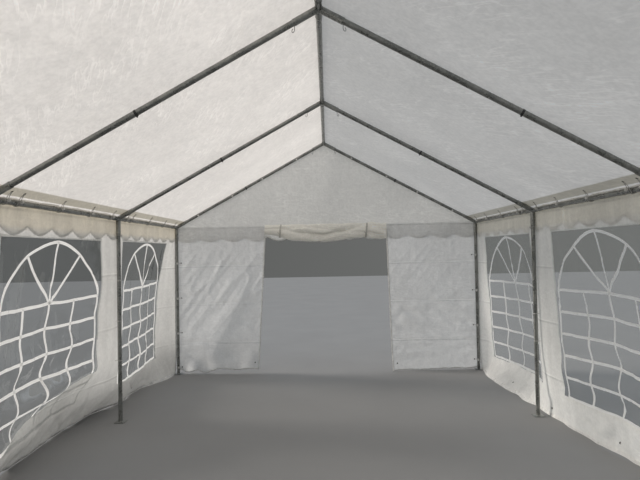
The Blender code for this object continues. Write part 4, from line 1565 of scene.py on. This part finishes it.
def add_rafter_clips():
    """Black rings over the rafters' middle joints, and wire hooks at the apex sleeves."""
    clips = Shape()
    hooks = Shape()
    for y in FRAME_YS:
        for side in SIDES.values():
            down = slope_down(side)
            under = -roof_normal(side)
            share_down = CLIP_SHARES.get((side, y), UNSEEN_CLIP_SHARE)
            middle = np.array([0, y, RIDGE]) + down * RAFTER_SPAN * share_down
            profile = [
                (-0.0080, TUBE_RADIUS - 0.0002),
                (-0.0076, TUBE_RADIUS + 0.0014),
                (-0.0020, TUBE_RADIUS + 0.0018),
                (0.0076, TUBE_RADIUS + 0.0014),
                (0.0080, TUBE_RADIUS - 0.0002),
            ]
            lathe(clips, middle, down, profile, 28)
            nub = [(0.0, 0.0062), (0.006, 0.0058), (0.0085, 0.0042), (0.0095, 0.0012)]
            lathe(clips, middle + under * TUBE_RADIUS + down * 0.003, under, nub, 14)
            root = np.array([0, y, RIDGE]) + down * (RAFTER_ARM + 0.004) + under * TUBE_RADIUS
            toward = np.array([0, -1.0, 0])
            start = root + np.array([0, 0, -HOOK_DROP * HOOK_STRAIGHT]) - under * 0.002
            path = []
            for share in np.linspace(0, 1, 22):
                if share < HOOK_STRAIGHT:
                    path.append(root + np.array([0, 0, -HOOK_DROP * share]) - under * 0.002)
                else:
                    angle = (share - HOOK_STRAIGHT) / (1 - HOOK_STRAIGHT) * math.radians(250)
                    curl = down * 0.009 * (1 - math.cos(angle))
                    dip = np.array([0, 0, -0.011 * math.sin(angle)])
                    path.append(start + curl + dip + toward * 0.004 * share)
            sweep(hooks, path, 0.0021, 8)
    add_piece("rafter_clips", clips, BLACK, sharp=50)
    add_piece("apex_hooks", hooks, WIRE)


def add_wall_eyelets():
    """Eyelets along the skirts and at the door panels' lower corners."""
    rings = Shape()
    holes = Shape()
    for side in SIDES.values():
        for y in SKIRT_EYELETS:
            share = SKIRT_EYELET_SHARE
            here = wall_points(side, np.array(y), np.array(share))
            beside = wall_points(side, np.array(y + 0.02), np.array(share))
            below = wall_points(side, np.array(y), np.array(share + 0.05))
            facing = np.cross(beside - here, below - here)
            unit = facing / np.linalg.norm(facing)
            if unit[0] * side > 0:
                unit = -unit
            add_eyelet(rings, holes, here + unit * 0.0006, unit, 0.0095)
    for end in ENDS.values():
        for x, z in DOOR_EYELETS:
            out = float(end_belly(np.array(x), np.array(z), END_SEEDS[end]))
            centre = (end * x, end * (END_Y + out) - end * 0.001, z)
            add_eyelet(rings, holes, centre, (0, -end, 0), 0.0095)
    add_piece("wall_eyelets", rings, DARK_METAL, sharp=50)
    add_piece("wall_eyelet_holes", holes, BLACK)


# Camera, floor and light

CAMERA_PLACE = (0.026, -3.145, 1.609)
YAW = math.radians(-0.80)
PITCH = math.radians(1.17)
ROLL = math.radians(-1.13)
FOCAL_PIXELS = 533.6
PHOTO_WIDTH_PIXELS = 640
SENSOR_WIDTH = 36
SUN_STRENGTH = 3.35
SUN_WIDTH = math.radians(20)
SUN_COLOUR = (1.0, 0.925, 0.85)
TOWARD_SUN = (-0.95, 0.20, 0.225)
LOW_LIGHTS = ((0.11, 0.113, 0.11), (0.19, 0.195, 0.19))
HIGH_LIGHTS = ((0.52, 0.56, 0.60), (0.76, 0.79, 0.82))


def add_camera():
    """The photograph's viewpoint: inside, near the front end, looking along the ridge."""
    flat = math.cos(PITCH)
    forward = Vector((math.sin(YAW) * flat, math.cos(YAW) * flat, math.sin(PITCH)))
    level = Vector((math.cos(YAW), -math.sin(YAW), 0))
    upward = level.cross(forward)
    right = math.cos(ROLL) * level + math.sin(ROLL) * upward
    over = -math.sin(ROLL) * level + math.cos(ROLL) * upward
    data = bpy.data.cameras.new("camera")
    data.sensor_width = SENSOR_WIDTH
    data.lens = FOCAL_PIXELS / PHOTO_WIDTH_PIXELS * SENSOR_WIDTH
    data.clip_start = 0.02
    item = bpy.data.objects.new("camera", data)
    bpy.context.scene.collection.objects.link(item)
    turned = Matrix((right, over, -forward)).transposed().to_4x4()
    item.matrix_world = Matrix.Translation(CAMERA_PLACE) @ turned
    bpy.context.scene.camera = item


def add_floor():
    """Plain pale floor."""
    look = Finish("plain_floor")
    tone = look.ramp(look.noise(look.place, 1.2, 3.0), 0.30, 0.33)
    colour = look.node("ShaderNodeCombineColor")
    for socket in colour.inputs[:3]:
        look.feed(socket, tone)
    material = look.finish(look.principled(colour.outputs[0], 0.9, specular=0.0))
    half = 30.0
    level = -0.001
    mesh = bpy.data.meshes.new("floor")
    corners = [(-half, -half, level), (half, -half, level), (half, half, level), (-half, half, level)]
    mesh.from_pydata(corners, [], [(0, 1, 2, 3)])
    mesh.materials.append(material)
    floor = bpy.data.objects.new("floor", mesh)
    bpy.context.scene.collection.objects.link(floor)


def add_light():
    """Soft light from above, brighter on the right, and a broad low sun from the left."""
    world = bpy.data.worlds.new("studio")
    world.use_nodes = True
    tree = world.node_tree
    place = tree.nodes.new("ShaderNodeTexCoord")
    split = tree.nodes.new("ShaderNodeSeparateXYZ")
    tree.links.new(place.outputs["Generated"], split.inputs[0])

    def share_of(socket, low, high):
        ramp = tree.nodes.new("ShaderNodeMapRange")
        ramp.interpolation_type = "SMOOTHSTEP"
        ramp.inputs["From Min"].default_value = low
        ramp.inputs["From Max"].default_value = high
        tree.links.new(socket, ramp.inputs["Value"])
        return ramp

    climb = share_of(split.outputs[2], 0.05, 0.32)
    aside = share_of(split.outputs[0], -0.5, 0.9)
    levels = []
    for left, right in (LOW_LIGHTS, HIGH_LIGHTS):
        level = tree.nodes.new("ShaderNodeMix")
        level.data_type = "RGBA"
        level.inputs["A"].default_value = (*left, 1)
        level.inputs["B"].default_value = (*right, 1)
        tree.links.new(aside.outputs[0], level.inputs["Factor"])
        levels.append(level)
    blend = tree.nodes.new("ShaderNodeMix")
    blend.data_type = "RGBA"
    tree.links.new(levels[0].outputs["Result"], blend.inputs["A"])
    tree.links.new(levels[1].outputs["Result"], blend.inputs["B"])
    tree.links.new(climb.outputs[0], blend.inputs["Factor"])
    background = tree.nodes["Background"]
    tree.links.new(blend.outputs["Result"], background.inputs["Color"])
    bpy.context.scene.world = world
    data = bpy.data.lights.new("soft_sun", "SUN")
    data.energy = SUN_STRENGTH
    data.angle = SUN_WIDTH
    data.color = SUN_COLOUR
    sun = bpy.data.objects.new("soft_sun", data)
    sun.rotation_euler = Vector(TOWARD_SUN).to_track_quat("Z", "Y").to_euler()
    bpy.context.scene.collection.objects.link(sun)
    bpy.context.scene.view_settings.view_transform = "Standard"


def main():
    add_camera()
    build_steel()
    roof_cover_sheet()
    for end_name, end in ENDS.items():
        seed = END_SEEDS[end]
        add_gable(end_name, end, seed + 40)
        add_end_wall(end_name, end, seed)
        add_rolled_door(end_name, end, seed + 60)
    for side_name, side in SIDES.items():
        add_side_wall(side_name, side)
        for number, centre in enumerate(BAY_CENTRES, 1):
            add_window(side_name, side, number, centre + WINDOW_SHIFT)
        add_rail_loops(side_name, side)
    add_corner_ties()
    add_gable_ties()
    add_leg_bands()
    add_rafter_clips()
    add_wall_eyelets()
    add_floor()
    add_light()


main()
